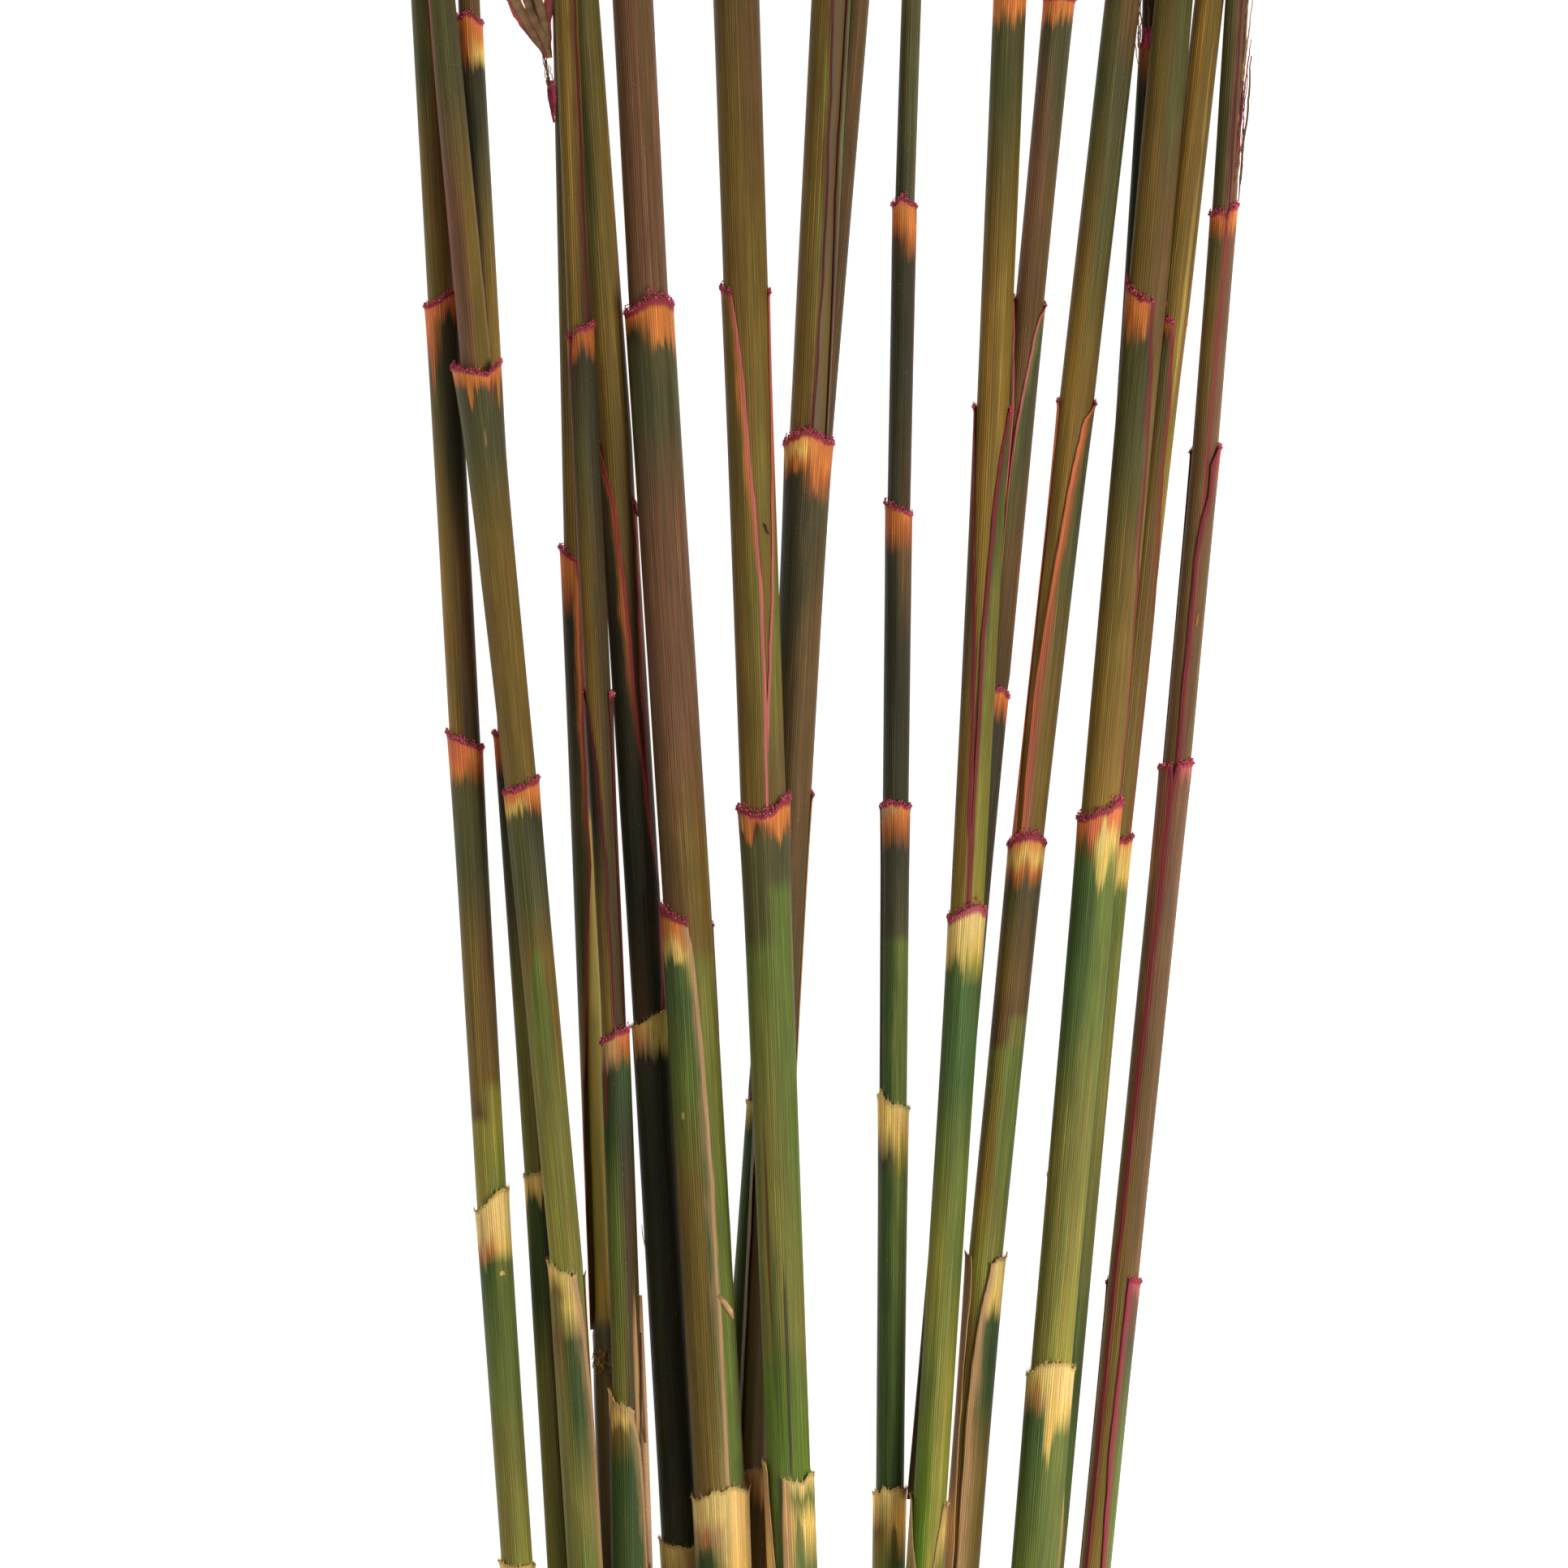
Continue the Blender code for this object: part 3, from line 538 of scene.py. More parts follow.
        Look(((1117, 1840), (1140, 1838), (1165, 1848)), 90, ((1846, TAN), (1880, TAN, STRAW), (1935, FERN, GREEN),
            (2130, GREEN)), lip=TAN, edge=TAN, torn=2.0, gap=(((1118, 1842), (1123, 1880), (1128, 1932),
            (1131, 1990)), ((1164, 1850), (1156, 1890), (1149, 1932), (1142, 1990)))),
    ),
    13: (
        Look((), BACK, ((-90, BROWN), (0, BROWN))),
        Look(((1285, -2), (1305, -4), (1325, 0)), BACK, ((-2, SALMON, ORANGE), (16, ORANGE), (34, SAGE),
            (120, MAUVE, SAGE), (250, MAUVE, BROWN), (390, BROWN), (600, MAUVE)), foot=610),
        Look(((1247, 368), (1270, 366), (1292, 379)), 90, ((374, PINK), (400, BROWN, SAGE), (560, BROWN, SAGE),
            (700, BROWN), (860, UMBER)), edge=PINK, fringe=GREEN, hem=0.7, gap=(((1248, 372), (1249, 400),
            (1249, 500), (1240, 600)), ((1290, 380), (1281, 392), (1273, 420), (1266, 455), (1258, 490), (1250, 530),
            (1240, 600)))),
        Look(((1210, 848), (1232, 848), (1246, 862)), BACK, ((855, AMBER, ORANGE), (875, UMBER, AMBER), (895, DARK),
            (1100, UMBER, DARK), (1480, UMBER))),
        Look(((1139, 1487), (1180, 1487)), BACK, ((1487, TAN), (1510, UMBER), (1600, UMBER), (1850, UMBER)), lip=TAN,
            edge=TAN),
    ),
    14: (
        Look((), BACK, ((-130, DARK), (20, MOSS, BROWN), (100, MOSS, SAGE), (300, OLIVE, MOSS), (450, MUSTARD, OLIVE),
            (800, MUSTARD, OLIVE)), foot=1030),
        Look(((1302, 495), (1325, 490), (1350, 498)), 90, ((498, PINK, SALMON), (516, PINK, MOSS),
            (560, SALMON, MOSS), (700, PINK, MOSS), (850, PINK, OLIVE), (1040, PINK, OLIVE)), edge=SALMON,
            fringe=AMBER, hem=1.0, over="right", turn=-0.2, gap=(((1303, 497), (1297, 560), (1286, 640), (1278, 720),
            (1268, 820), (1260, 900), (1250, 1035)), ((1348, 500), (1335, 520), (1327, 552), (1316, 600), (1307, 650),
            (1296, 712), (1284, 780), (1272, 860), (1263, 950), (1256, 1035)))),
        Look(((1243, 1040), (1255, 1030), (1268, 1028), (1281, 1030), (1288, 1040)), BACK, ((1036, SALMON, ORANGE),
            (1056, STRAW), (1074, AMBER), (1092, SAGE), (1210, OLIVE, BROWN), (1246, BROWN), (1258, BROWN, FERN),
            (1284, BROWN, FERN), (1296, FERN, GREEN), (1460, MUSTARD, GREEN), (1560, LIME, FERN), (1640, OLIVE),
            (2100, OLIVE)), foot=2100, crust=1.9),
        Look(((1193, 1543), (1205, 1556), (1218, 1556), (1232, 1552), (1246, 1540)), 90, ((1550, TAN, CREAM),
            (1600, TAN, STRAW), (1625, TAN, FIR), (1720, TAN, FIR), (1800, TAN, OLIVE), (1932, TAN, OLIVE),
            (2100, STRAW, GREEN)), over="right", lip=TAN, edge=TAN, torn=2.2, hem=1.0, gap=(((1196, 1545),
            (1195, 1600), (1189, 1650), (1182, 1740), (1173, 1931)), ((1220, 1556), (1213, 1590), (1206, 1620),
            (1197, 1680), (1190, 1740), (1184, 1830), (1178, 1931))), patches=((1204, 1650, 5, 60, TAN, 0.8),)),
    ),
    15: (
        Look((), BACK, ((-70, UMBER), (50, UMBER))),
        Look(((1398, 58), (1418, 52)), BACK, ((55, AMBER), (100, UMBER, AMBER), (120, COAL, DARK), (400, COAL, UMBER),
            (780, UMBER))),
        Look(((1368, 776), (1395, 776)), BACK, ((776, AMBER), (820, DARK), (1446, UMBER))),
        Look(((1310, 1446), (1345, 1446)), BACK, ((1446, TAN), (1490, FIR), (2050, GREEN)), lip=TAN, edge=TAN),
    ),
    16: (
        Look((), BACK, ((-120, MOSS), (120, OLIVE, MOSS), (260, OLIVE, BROWN), (360, OLIVE, BROWN),
            (560, BROWN, OLIVE), (700, BROWN, FERN), (1080, BROWN, LIME)), foot=1090),
        Look(((1382, 343), (1392, 358), (1405, 369), (1422, 374)), 0, ((356, SALMON), (378, ORANGE, AMBER),
            (400, AMBER, MOSS), (424, MOSS, DARK), (560, MOSS), (720, OLIVE), (1000, MUSTARD)), torn=1.3, hem=0.8,
            edge=GARNET, crust=1.8, patches=((1389, 408, 4, 26, ORANGE, 0.8), (1409, 396, 4, 22, ORANGE, 0.8)),
            gap=(((1421, 375), (1420, 410), (1418, 470), (1415, 530), (1410, 600), (1405, 660), (1397, 780),
            (1390, 870), (1381, 985)), -20)),
        Look(((1334, 1008), (1345, 1004), (1366, 995), (1378, 984), (1387, 992)), BACK, ((1003, SALMON),
            (1020, SALMON), (1040, OLIVE, STRAW), (1062, PINE, LIME), (1090, PINE, GREEN), (1240, PINE, GREEN),
            (1400, FERN), (1680, FERN, LIME)), torn=1.2, crust=1.8, patches=((1358, 1050, 11, 42, STRAW, 0.95),
            (1358, 1034, 7, 20, CREAM, 0.8), (1373, 1060, 3, 50, TAN, 0.7), (1340, 1024, 3, 18, PINK, 0.6))),
        Look(((1266, 1689), (1278, 1680), (1296, 1675), (1312, 1676), (1325, 1686)), BACK, ((1682, CREAM),
            (1704, STRAW, CREAM), (1722, TAN, CREAM), (1742, PINE, STRAW), (1768, PINE, GREEN), (1932, GREEN),
            (2110, GREEN)), lip=STRAW, edge=TAN, torn=2.0, patches=((1276, 1722, 6, 24, AMBER, 0.5),
            (1292, 1755, 8, 46, STRAW, 0.9))),
    ),
    17: (
        Look((), BACK, ((-20, MUSTARD, OLIVE), (250, MUSTARD, OLIVE), (400, OLIVE, MUSTARD), (800, OLIVE, LIME),
            (1060, GREEN, LIME)), foot=1120, patches=((1464, 330, 3, 230, CREAM, 0.35),)),
        Look(((1430, 398), (1440, 394), (1450, 400)), 0, ((398, AMBER, ORANGE), (415, DARK, AMBER), (430, MOSS, DARK),
            (600, OLIVE, BROWN), (1040, OLIVE)), gap=(((1447, 400), (1444, 450), (1441, 508), (1433, 584),
            (1427, 686), (1420, 780), (1410, 900), (1398, 1035)), -25)),
        Look(((1376, 1036), (1388, 1036), (1399, 1027)), 240, ((1032, SALMON), (1050, STRAW), (1080, GREEN, STRAW),
            (1100, PINE, GREEN), (1350, GREEN, FERN), (1700, FIR), (2060, GREEN)),
            patches=((1306, 1900, 4, 50, TAN, 0.8),)),
    ),
    18: (
        Look((), 80, ((-110, MOSS, MAUVE), (255, SAGE, MAUVE)), edge=MAROON),
        Look(((1495, 264), (1510, 261), (1527, 252)), ((1511, 262), (1510, 300), (1502, 370), (1494, 450),
            (1487, 545)), ((260, SALMON), (274, AMBER, ORANGE), (292, MOSS, MAUVE), (420, OLIVE, MAUVE),
            (560, BROWN, MAUVE), (950, BROWN, MAUVE)), foot=960),
        Look(((1466, 556), (1485, 552), (1504, 552)), 0, ((556, PINK, RED), (574, MAUVE, RED), (590, MAUVE),
            (700, MAUVE, BROWN), (950, BROWN)), over="right", edge=GARNET, hem=1.2, gap=(185, ((1501, 555),
            (1492, 575), (1488, 610), (1479, 640), (1470, 700), (1462, 780), (1455, 850), (1448, 940)))),
        Look(((1426, 946), (1446, 942), (1466, 940)), ((1446, 950), (1438, 1000), (1430, 1060), (1425, 1120),
            (1415, 1200), (1405, 1280), (1392, 1400), (1372, 1570)), ((945, BROWN, PINK), (965, MAUVE), (1100, MAUVE),
            (1300, BROWN), (1500, OLIVE, BROWN), (1750, OLIVE), (1932, MUSTARD, OLIVE)), foot=2060, edge=GARNET,
            hem=1.2),
        Look(((1368, 1578), (1385, 1572), (1403, 1578)), 0, ((1576, PINK), (1600, GARNET, MAUVE), (1660, MAUVE, SAGE),
            (1820, MAUVE, GREEN), (1932, MAUVE, GREEN), (2100, MAUVE, GREEN)), over="right", edge=CRIMSON, hem=0.9,
            gap=(185, ((1390, 1577), (1385, 1620), (1378, 1680), (1369, 1760), (1362, 1850), (1357, 1931)))),
    ),
}


def skin(name, look, bands, length, spots, seed):
    """The skin of one sheath: bands of colour that fray into tongues, with painted light and shade across it, veins
    as fine ribs with painted shade in their grooves, pale and dark threads, specks, a coloured line along each margin
    and a crumbly lip with painted shade among its crumbs. Lengths are in millimetres."""
    material, wire, inputs = new_material(name)
    around, below, side, inset = (wire.read(name) for name in ("around", "below", "side", "inset"))
    threads = wire.clouds(3.2, 0.06, seed + 5.0, 2.0)
    tongues = wire.clouds(0.8, 0.03, seed) + threads * 0.4 - 0.2
    streaks = wire.clouds(2.4, 0.025, seed + 7.0, roughness=0.65)
    veins = wire.clouds(2.86, 0.02, seed + 3.0, 1.0, 0.5)
    clumps = wire.clouds(0.35, 0.06, seed + 11.0)
    hues = wire.clouds(0.6, 0.02, seed + 13.0)
    grain = wire.clouds(5.5, 2.2, seed + 19.0, 1.0)
    specks = wire.clouds(3.5, 2.0, seed + 21.0, 0.0)
    soot = wire.clouds(2.3, 0.85, seed + 31.0, 1.0)

    reach = below.between(0.0, 4.0) * below.between(22.0, 11.0) * 10.0 + 2.0
    place = (below + (tongues - 0.5) * reach) * (1.0 / length)
    sides = []
    for column in (1, 2):
        stops = [(min(max(band[0] / length, 0.0), 1.0), band[column]) for band in bands]
        sides.append(wire.node("ShaderNodeValToRGB", {0: place}, stops=stops))
    # Left colours give way to right ones here; besides the sheath's own colours they carry painted light and shade.
    turned = side + (clumps - 0.5) * 0.7 + (threads - 0.5) * 0.5
    colour = turned.between(look.turn - 0.45, look.turn + 0.45).mix(*sides)
    for spot_around, spot_below, half_width, half_length, tint, strength in spots:
        reach_x = ((around - spot_around) + (streaks - 0.5) * half_width) * (1.0 / half_width)
        reach_y = ((below - spot_below) + (tongues - 0.5) * (half_length * 2.0)) * (1.0 / half_length)
        colour = ((reach_x * reach_x + reach_y * reach_y).between(1.4, 0.3) * strength).mix(colour, tint)

    rib = (around * (2 * math.pi / VEIN_SPACING) + (clumps - 0.5) * 1.5).wave()
    # Painted shade in the grooves: the colour is darkened in the valleys between the ribs, more along some veins.
    groove_shade = rib.between(-0.2, -0.95) * (veins.between(0.3, 0.65) * 0.28 + 0.05)
    # The sheath's own tone from streaks, veins, clumps and grain, times the painted shade in the grooves.
    shade = (streaks.between(0.3, 0.7) * 0.44 + 0.82) * (veins.between(0.35, 0.65) * 0.26 + 0.9)
    shade = shade * (clumps * 0.64 + 0.7) * (grain * 0.3 + 0.85) * (1.0 - groove_shade)
    colour = colour.times(shade).times(hues.between(0.34, 0.66).mix((1.10, 0.965, 0.785), (0.95, 1.01, 0.79)))
    pale = (streaks + grain * 0.1).between(0.6, 0.72) * rib.between(0.2, 0.95) * 0.55
    colour = pale.mix(colour, colour.times(1.9))
    colour = (specks.between(0.81, 0.88) * 0.4).mix(colour, srgb(190, 170, 130))
    colour = (soot.between(0.72, 0.82) * 0.5).mix(colour, srgb(48, 34, 24))

    margin = inset + (streaks - 0.5) * (look.hem * 0.8)
    frayed = margin + (threads - 0.5) * 2.0 + (clumps - 0.5) * 4.0
    beside = 1.0 - frayed.between(look.hem, look.hem * 2.0 + 1.0)
    lasting = below.between(1.0, 8.0) * below.between(80.0, 35.0) if look.fringe else 0.4
    colour = (beside * lasting).mix(colour, look.fringe or look.edge)
    uneven = (threads * 0.9 + 0.55) * (grain * 0.5 + 0.75)
    edge = uneven.grey().times(look.edge)
    colour = (margin.between(look.hem * 1.25, look.hem * 0.75) * 0.9).mix(colour, edge)
    if look.rim:
        crumbly = below + (grain - 0.5) * 1.2 + (threads - 0.5) * 1.6
        crumbly = crumbly.between(look.crust, 0.4 * look.crust) * 0.92
        # Painted shade among the crumbs: the crumbly band is darkened in grainy spots to about a third, with slight
        # painted highlights where the grain is low.
        colour = crumbly.mix(colour, look.lip).times(1.0 - crumbly * (grain * 0.9 - 0.2))
    wire.feed(inputs["Base Color"], colour)
    wire.feed(inputs["Roughness"], streaks * 0.22 + 0.42)
    inputs["Specular IOR Level"].default_value = 0.2
    height = rib * 0.5 + streaks * 0.9 + clumps * 0.5 + grain * 0.3
    wire.feed(inputs["Normal"], wire.node("ShaderNodeBump", {"Strength": 0.6, "Distance": 0.1 * MM,
                                                             "Height": height}))
    return material


def sheath_radius(stem, k, y):
    """Outer radius of a sheath: flared at its collar, and just inside the next sheath below that."""
    start, after, rim, neck, _ = stem.sheaths[k]
    last = k + 1 == len(stem.sheaths)
    if y < after and not last:
        return min(neck + WIDER, sheath_radius(stem, k + 1, y) - NEST)
    share = min(max((start - y) / (start - after), 0.0), 1.0)
    flare = 1.0 - share if k == 0 else 0.4 * (1.0 - share) + 0.6 * math.exp((y - start) / (16 * MM))
    return neck + (rim - neck) * flare + WIDER


def path_turn(stem, k, path, y):
    """The angle about the axis, at a place along the reed, of a margin given by points of the photograph."""
    if not isinstance(path, tuple):
        return float(path)
    rows = [-along(point[1]) for point in path]
    turns = []
    for (px, _), row in zip(path, rows):
        reach = (across(px) - stem.centre(-row)[0]) / sheath_radius(stem, k, -row)
        turns.append(math.degrees(math.acos(min(max(reach, -0.97), 0.97))))
    return float(np.interp(-y, rows, turns))


def margins(stem, k, look, y, down):
    """Angles of the left and the right margin. A closed slit gapes at its collar and overlaps below it."""
    if look.gap:
        left, right = (path_turn(stem, k, path, y) for path in look.gap)
    else:
        gape = 8 * math.exp(-down / (3 * MM)) - 14 * (1 - math.exp(-down / (9 * MM)))
        middle = path_turn(stem, k, look.slit, y)
        left, right = middle + gape, middle - gape
    arc = math.degrees(MM / sheath_radius(stem, k, y))
    wander = [noise.noise(Vector((y * 90, stem.number, k + 9 * s))) * 0.35
              + noise.noise(Vector((y * 420, stem.number, k + 9 * s))) * 0.12 for s in (0, 1)]
    return left + wander[0] * arc, right + wander[1] * arc


def thicken(piece, thickness, offset):
    sheet = piece.modifiers.new("Sheet", "SOLIDIFY")
    sheet.thickness = thickness
    sheet.offset = offset


def roll(stem, k, look, seed):
    """One leaf sheath as a thin sheet rolled around its reed. Gives the points of its collar's edge too."""
    start, after, rim, neck, node = stem.sheaths[k]
    last = stem.bottom if k + 1 == len(stem.sheaths) else max(after - TUCK, stem.bottom)
    if look.foot:
        last = max(along(look.foot), stem.bottom)
    length = start - last
    rows = list(COLLAR_ROWS)
    while rows[-1] < length / MM - 1.4 * ROW:
        rows.append(rows[-1] + ROW)
    rows.append(length / MM)
    spans = {}
    for row, down in enumerate(rows):
        spans[row] = margins(stem, k, look, start - down * MM, down * MM)
    rim_x = [across(point[0]) for point in look.rim]
    rim_y = [along(point[1]) for point in look.rim]
    columns = round(2 * math.pi * max(rim, neck) / COLUMN)
    mesh = bmesh.new()
    bmesh.ops.create_grid(mesh, x_segments=columns, y_segments=len(rows) - 1, size=1.0)
    layer = {name: mesh.verts.layers.float.new(name) for name in ("around", "below", "side", "inset")}
    collar = []
    for vertex in mesh.verts:
        share = (vertex.co.x + 1) / 2
        row = round((1 - vertex.co.y) / 2 * (len(rows) - 1))
        down = rows[row] * MM
        y = start - down
        left, right = spans[row]
        turn = left + share * (right + 360 - left)
        lap = share if look.over == "left" else 1 - share
        radius = sheath_radius(stem, k, y) - 1.25 * SHEET * lap
        cos, sin = math.cos(math.radians(turn)), math.sin(math.radians(turn))
        if look.rim:
            rag = noise.noise(Vector((turn * 0.05, seed, 0))) + 0.6 * noise.noise(Vector((turn * 0.21, seed, 3)))
            slant = float(np.interp(stem.centre(y)[0] + radius * cos, rim_x, rim_y)) - start
            fade = math.exp(-down / (7 * MM))
            y += (slant + 0.5 * MM * look.torn * rag) * fade
            radius += (0.18 * math.exp(-(down / (0.9 * MM)) ** 2) + 0.10 * look.torn * rag * fade) * MM
        radius += 0.05 * MM * noise.noise(Vector((cos, sin, down * 30 + seed)))
        x, z = stem.centre(y)
        vertex.co = (x + radius * cos, y, max(z + radius * sin, OFF_TABLE))
        vertex[layer["around"]] = math.radians(90 - turn) * rim / MM
        vertex[layer["below"]] = down / MM
        vertex[layer["side"]] = cos
        vertex[layer["inset"]] = math.radians(min(turn - left, right + 360 - turn)) * rim / MM
        if row == 0 and look.rim:
            collar.append((turn, vertex.co.copy()))
    bmesh.ops.recalc_face_normals(mesh, faces=mesh.faces)
    mesh.faces.ensure_lookup_table()
    face = mesh.faces[len(mesh.faces) // 2]
    middle = face.calc_center_median()
    x, z = stem.centre(middle.y)
    if face.normal.dot(middle - Vector((x, middle.y, z))) < 0:
        bmesh.ops.reverse_faces(mesh, faces=mesh.faces)
    name = f"reed_{stem.number:02d}_{'top' if k == 0 else f'leaf_{k}'}"
    spots = []
    for px, py, half_width, half_length, tint, strength in look.patches:
        row = along(py)
        reach = (across(px) - stem.centre(row)[0]) / sheath_radius(stem, k, row)
        turn = math.degrees(math.acos(min(max(reach, -1), 1)))
        if turn < margins(stem, k, look, row, start - row)[0] - 2:
            turn += 360
        spots.append((math.radians(90 - turn) * rim / MM, (start - row) / MM, half_width * PIXEL / MM,
                      half_length * PIXEL / MM, tint, strength))
    bands = [((start - along(row)) / MM, colours[0], colours[-1]) for row, *colours in look.colours]
    material = skin(name, look, bands, length / MM, spots, seed)
    piece = finish(name, mesh, material)
    thicken(piece, SHEET, -1.0)
    if node:
        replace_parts(piece, node)
    return sorted(collar, key=lambda point: point[0])


rng = random.Random(18)
collars = {}
for stem in stems:
    for k, look in enumerate(LOOKS[stem.number]):
        collars[stem.number, k] = roll(stem, k, look, rng.uniform(0, 100))


# Collars: what is left where the blades broke off. Fresh ones are a crust of crimson crumbs with short hairs, and
# the dry ones low on the reeds have papery, frayed edges with pale hairs.
CRUMBS_PER_MM = {"fresh": 17.0, "dry": 2.0}
HAIRS_PER_MM = {"fresh": 7.0, "dry": 3.2}
FRESH = (CRIMSON, MAGENTA, MAGENTA, PINK, MAGENTA, CRIMSON)
DRY = (STRAW, TAN, CREAM, BROWN)


def collar_material():
    """Matt, crumbly tissue in the colour that each crumb, hair or shred carries."""
    material, wire, inputs = new_material("Collar")
    place = wire.node("ShaderNodeTexCoord", {}, output="Object")
    grain = wire.node("ShaderNodeTexNoise", {"Vector": place, "Scale": 2600.0, "Detail": 2.0})
    wire.feed(inputs["Base Color"], wire.read("tint", "Color").times(grain * 1.1 + 0.65))
    wire.feed(inputs["Roughness"], grain * 0.3 + 0.55)
    return material


def paint(mesh, verts, colour):
    tint = mesh.verts.layers.float_color["tint"]
    for vert in verts:
        vert[tint] = (*colour, 1.0)


def crumbs_and_hairs(stem, k, look, collar):
    """One collar's crumbs and hairs, as a mesh of its own."""
    mesh = bmesh.new()
    mesh.verts.layers.float_color.new("tint")
    dry = look.lip in (STRAW, TAN)
    state = "dry" if dry else "fresh"
    turns = [turn for turn, _ in collar]
    span = math.radians(turns[-1] - turns[0]) * stem.sheaths[k][2] / MM

    def spot():
        turn = rng.uniform(turns[0], turns[-1])
        base = min(collar, key=lambda point: abs(point[0] - turn))[1]
        out = Vector((math.cos(math.radians(turn)), 0, math.sin(math.radians(turn))))
        return turn, base, out, Vector((-out.z, 0, out.x))

    for _ in range(int(span * CRUMBS_PER_MM[state])):
        turn, base, out, _ = spot()
        bunch = 0.5 + noise.noise(Vector((turn * 0.03, stem.number, k)))
        size = rng.triangular(0.06, 0.28, 0.10) * MM * (0.7 if dry else 1.0)
        lift = (rng.uniform(-0.45, 0.15) if dry else rng.triangular(-0.5, look.crust * (0.5 + bunch), 0.1)) * MM
        middle = base + out * (rng.uniform(-0.30, 0.20) * MM - max(lift, 0) * 0.28) + Vector((0, lift, 0))
        shape = Vector([rng.uniform(0.5, 1.5) for _ in range(3)]) * size
        spin = Vector([rng.uniform(-1, 1) for _ in range(3)]).to_track_quat("X", "Z")
        colour = rng.choice(DRY if dry else FRESH)
        if middle.z > 1.6 * size:
            ball = bmesh.ops.create_icosphere(mesh, subdivisions=1, radius=1.0,
                                              matrix=Matrix.LocRotScale(middle, spin, shape))
            paint(mesh, ball["verts"], colour)
    for _ in range(int(span * HAIRS_PER_MM[state])):
        turn, base, out, flat = spot()
        tall = rng.triangular(0.2, 2.2 if dry else 1.4, 0.5) * MM
        lean = (Vector((0, 1, 0)) + out * rng.uniform(-0.25, 0.35) + flat * rng.uniform(-0.6, 0.6)).normalized()
        foot = base + out * rng.uniform(-0.25, 0.05) * MM - Vector((0, 0.15 * MM, 0))
        thick = rng.uniform(0.02, 0.05) * MM * (1.5 if dry else 1.0)
        colour = rng.choice((CREAM, STRAW, TAN, CREAM) if dry else (CRIMSON, MAGENTA, PINK, MAROON, TAN))
        if min(foot.z, (foot + lean * tall).z) > 0.1 * MM:
            spike = bmesh.ops.create_cone(
                mesh, cap_ends=True, segments=3, radius1=thick, radius2=thick * 0.1, depth=tall,
                matrix=Matrix.LocRotScale(foot + lean * tall / 2, lean.to_track_quat("Z", "X"), None))
            paint(mesh, spike["verts"], colour)
    return mesh


def pour(mesh, joined):
    """Adds a mesh to the joined one."""
    part = bpy.data.meshes.new("part")
    mesh.to_mesh(part)
    mesh.free()
    joined.from_mesh(part)
    bpy.data.meshes.remove(part)


collar_skin = collar_material()
for stem in stems:
    joined = bmesh.new()
    for k, look in enumerate(LOOKS[stem.number]):
        if look.rim:
            pour(crumbs_and_hairs(stem, k, look, collars[stem.number, k]), joined)
    finish(f"reed_{stem.number:02d}_collars", joined, collar_skin)


# Withered blades and loose fibres: the folded dead leaf at reed 4, shredded ones at reeds 15 and 18, a dry margin
# on reed 5, splinters, and the felt below reed 4's joint. Thin strips through points of the photograph, each with
# its height above the table in millimetres.
def ribbons(name, strips, thickness):
    """One piece of thin strips, each given as its points, its width in millimetres and its colour."""
    joined = bmesh.new()
    joined.verts.layers.float_color.new("tint")
    for points, width, colour in strips:
        spine = [Vector((across(px), along(py), high * MM)) for px, py, high in points]
        strip = bmesh.new()
        tint = strip.verts.layers.float_color.new("tint")
        bmesh.ops.create_grid(strip, x_segments=len(spine) - 1, y_segments=1, size=1.0)
        for vertex in strip.verts:
            index = round((vertex.co.x + 1) / 2 * (len(spine) - 1))
            point = spine[index]
            ahead = (spine[min(index + 1, len(spine) - 1)] - spine[max(index - 1, 0)]).normalized()
            lean = noise.noise(point * 160) * 0.9
            flat = ahead.cross(Vector((math.sin(lean), 0, math.cos(lean)))).normalized()
            taper = math.sin(math.pi * min(max(index / (len(spine) - 1), 0.06), 0.94)) ** 0.35
            vertex.co = point + flat * (vertex.co.y * width * MM / 2 * taper)
            vertex[tint] = (*(c * (0.8 + 0.5 * noise.noise(point * 700)) for c in colour), 1.0)
        pour(strip, joined)
    thicken(finish(name, joined, collar_skin), thickness, 0.0)


def wiggle(start, end, steps, sway):
    """Points from one place to another with a drifting sideways sway, in pixels."""
    drift = 0.0
    points = []
    for i in range(steps + 1):
        share = i / steps
        drift += rng.uniform(-sway, sway)
        points.append((start[0] + (end[0] - start[0]) * share + drift, start[1] + (end[1] - start[1]) * share,
                       start[2] + (end[2] - start[2]) * share + abs(drift) * 0.05))
    return points


blade = []
for i in range(7):
    blade.append((wiggle((676 + rng.uniform(-4, 2), 72, 5.0), (584 + i * 15, -70, 3.5 + i % 3), 24, 1.5),
                  rng.uniform(1.8, 2.8), rng.choice((TAN, PINK, MAUVE, PINK, TAN))))
for _ in range(9):
    blade.append((wiggle((rng.uniform(668, 676), rng.uniform(60, 80), 5.0),
                         (rng.uniform(672, 681), rng.uniform(98, 116), 5.5), 14, 1.6), 0.25,
                  rng.choice((TAN, CREAM, MAUVE))))
for i in range(4):
    blade.append((wiggle((675 + 2 * i, 100, 5.6), (680 + 2 * i, rng.uniform(140, 152), 5.0), 10, 0.6), 0.9,
                  rng.choice((CRIMSON, MAGENTA))))
ribbons("reed_04_blade", blade, 0.12 * MM)

shreds = []
for _ in range(26):
    low = rng.uniform(90, 250)
    high = low - rng.uniform(60, 190)
    x = 1518 + (250 - low) * 0.035 + rng.uniform(-4, 9)
    shreds.append((wiggle((x, low, 7.2), (x + (low - high) * 0.05 + rng.uniform(-2, 5), high, 7.4), 26, 0.8),
                   rng.uniform(0.2, 0.6), rng.choice((MAUVE, TAN, PINK, MAROON, BROWN, CRIMSON))))
ribbons("reed_18_blade", shreds, 0.08 * MM)

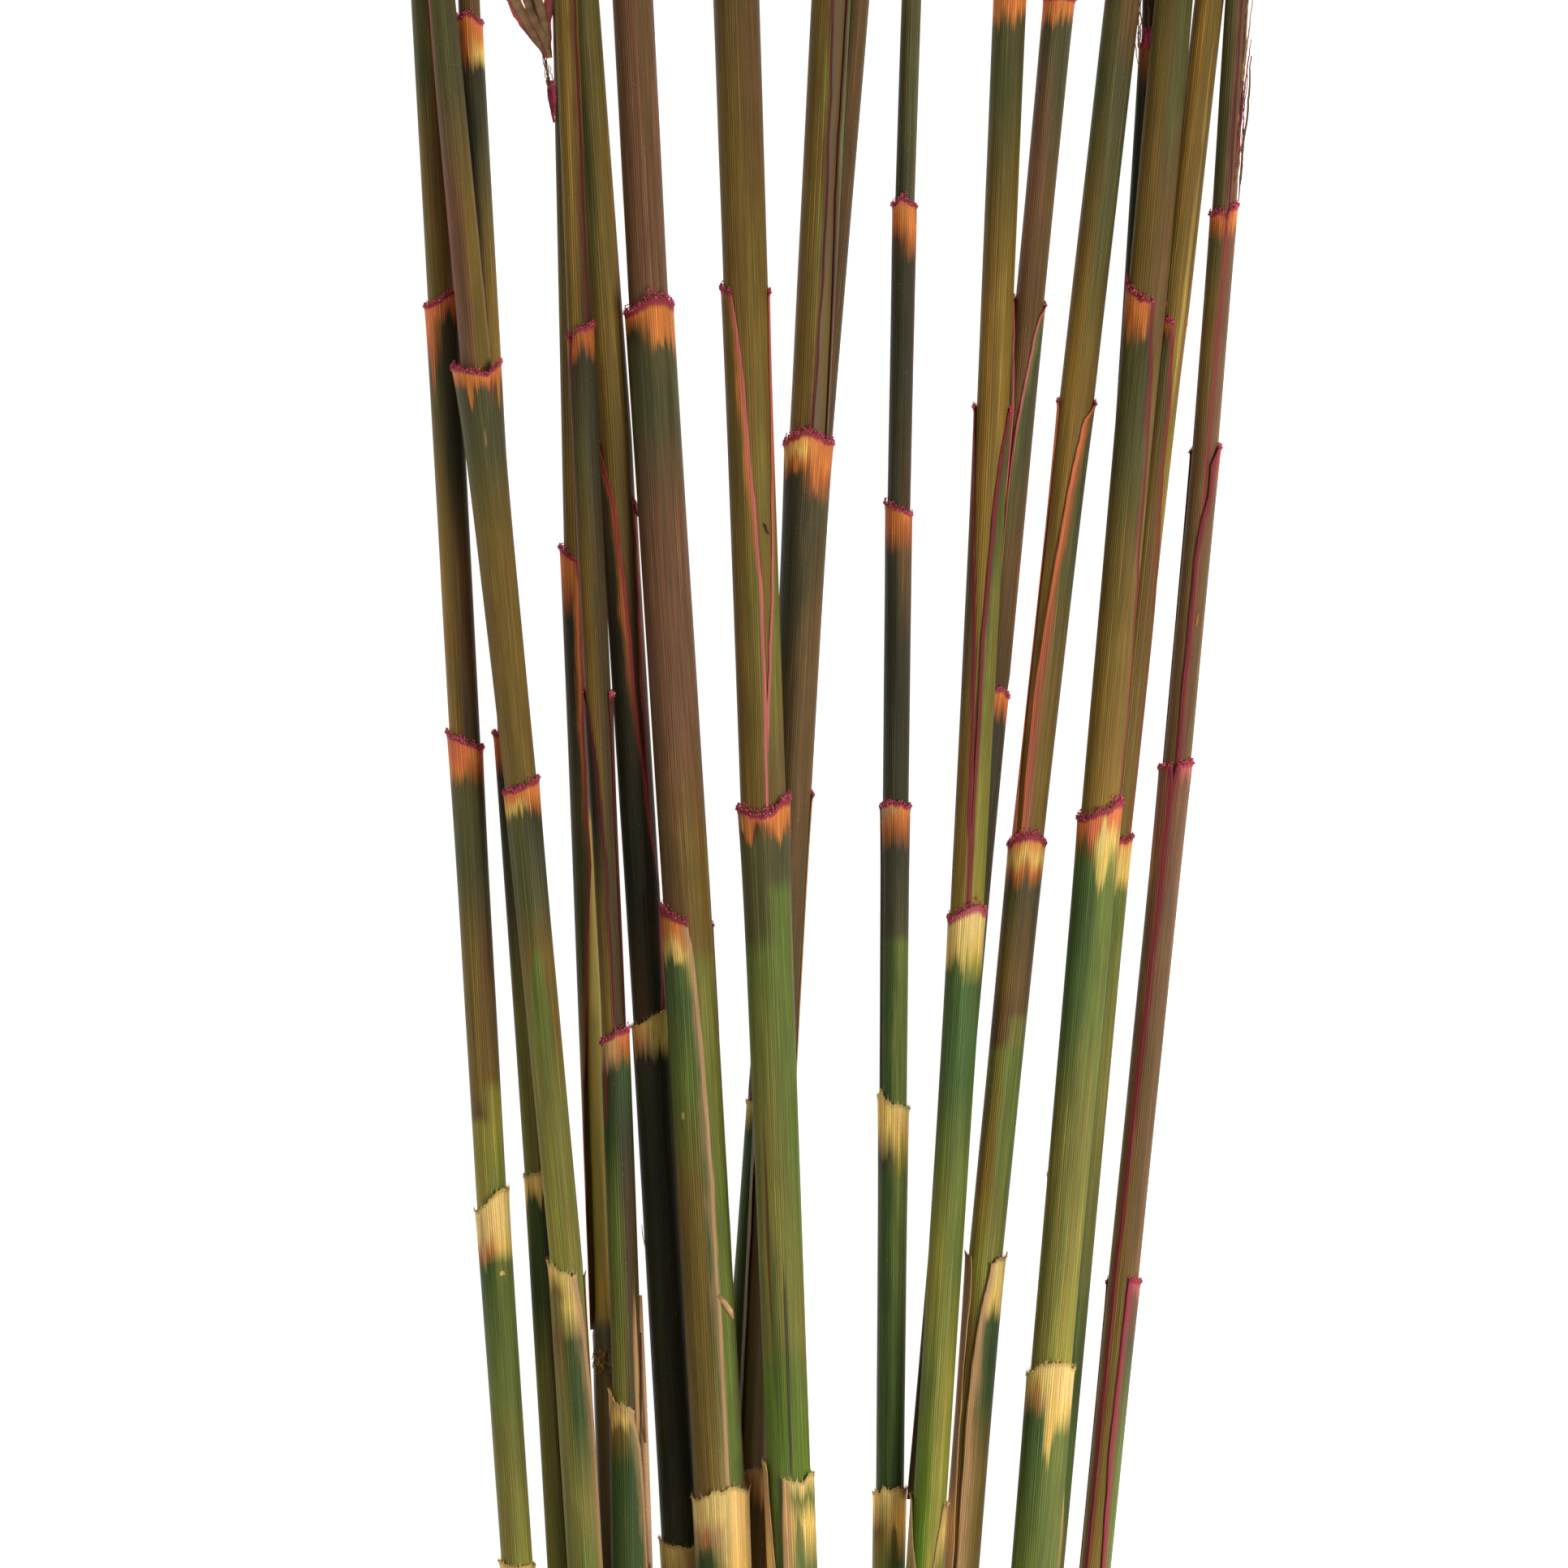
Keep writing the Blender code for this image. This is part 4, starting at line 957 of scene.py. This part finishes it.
wires = []
for _ in range(9):
    x = rng.uniform(1400, 1416)
    wires.append((wiggle((x, rng.uniform(52, 80), 4.6), (x + rng.uniform(-3, 3), rng.uniform(-30, 30), 5.0), 16, 1.3),
                  rng.uniform(0.2, 0.4), rng.choice((MAROON, TAN, MAUVE, CRIMSON))))
for _ in range(6):
    wires.append((wiggle((1411 + rng.uniform(-3, 5), 62, 5.0), (1413 + rng.uniform(-3, 5), 34, 5.4), 8, 0.8), 0.7,
                  rng.choice((MAGENTA, CRIMSON))))
ribbons("reed_15_fibres", wires, 0.08 * MM)

def on_reed(number, lift, *points):
    """Points of the photograph laid on a reed, so many millimetres off its skin."""
    laid = []
    for px, py in points:
        reed, y = stems[number - 1], along(py)
        k = max(index for index, sheath in enumerate(reed.sheaths) if sheath[0] >= y)
        x, z = reed.centre(y)
        radius = sheath_radius(reed, k, y)
        aside = min(abs(across(px) - x), radius)
        laid.append((px, py, (z + math.sqrt(radius * radius - aside * aside)) / MM + lift))
    return laid


ribbons("reed_05_margin", (
    (on_reed(5, 0.1, (789, 1594), (790, 1640), (792, 1700), (795, 1780), (798, 1860), (801, 1940), (803, 2000)),
     2.0, TAN),
    (on_reed(5, 0.4, (790, 1640), (793, 1720), (797, 1800), (800, 1880), (802, 1960)), 0.6, MAUVE),
), 0.15 * MM)

ribbons("splinters", (
    (on_reed(7, 0.15, (886, 1593), (893, 1602), (900, 1612), (903, 1622)), 1.5, TAN),
    (on_reed(8, 0.1, (942, 647), (944, 652), (947, 660)), 0.6, MAROON),
    (on_reed(18, 0.1, (1475, 756), (1474, 763), (1473, 771)), 0.6, ORANGE),
    (on_reed(6, 0.1, (791, 1508), (792, 1520), (795, 1534), (796, 1546)), 0.2, TAN),
), 0.12 * MM)

felt = []
for _ in range(150):
    x, y = rng.uniform(733, 754), rng.uniform(1658, 1676)
    felt.append((wiggle((x, y, 7.5), (x + rng.uniform(-5, 7), y + rng.uniform(6, 20), rng.uniform(7.6, 8.6)), 6, 0.8),
                 rng.uniform(0.1, 0.25), rng.choice((TAN, OLIVE, STRAW, LIME, BROWN))))
ribbons("reed_04_felt", felt, 0.06 * MM)

# Table, lights and camera: a white table that glows a little, so that no shadow is left on it, a soft key from the
# right and the front, a weak fill, and a far camera straight above.
bpy.ops.mesh.primitive_plane_add(size=6.0, location=(0, 0, 0))
floor = bpy.context.object
floor.name = "floor"
paper, wire, inputs = new_material("Paper")
wire.feed(inputs["Base Color"], (0.7, 0.7, 0.7))
wire.feed(inputs["Roughness"], 0.9)
wire.feed(inputs["Emission Color"], (1.0, 1.0, 1.0))
wire.feed(inputs["Emission Strength"], 0.95)
floor.data.materials.append(paper)

world = bpy.data.worlds.new("Studio")
world.use_nodes = True
world.node_tree.nodes["Background"].inputs["Color"].default_value = (1, 1, 1, 1)
world.node_tree.nodes["Background"].inputs["Strength"].default_value = 0.22
bpy.context.scene.world = world
for name, place, size, power in (
    ("Key", (0.75, -0.35, 0.95), 0.5, 10.6),
    ("Fill", (-0.5, 0.3, 1.4), 1.2, 1.8),
):
    lamp = bpy.data.lights.new(name, "AREA")
    lamp.size = size
    lamp.energy = power
    light = bpy.data.objects.new(name, lamp)
    light.location = place
    light.rotation_euler = (-Vector(place)).to_track_quat("-Z", "Y").to_euler()
    bpy.context.scene.collection.objects.link(light)

DISTANCE = 5.0
PHOTO_SIDE = 1932
lens = bpy.data.cameras.new("Camera")
lens.sensor_width = 36
lens.lens = 36 * DISTANCE / (PHOTO_SIDE * PIXEL)
lens.clip_end = 20
camera = bpy.data.objects.new("Camera", lens)
camera.location = (*MIDDLE, DISTANCE)
bpy.context.scene.collection.objects.link(camera)
bpy.context.scene.camera = camera
bpy.context.scene.view_settings.view_transform = "Standard"
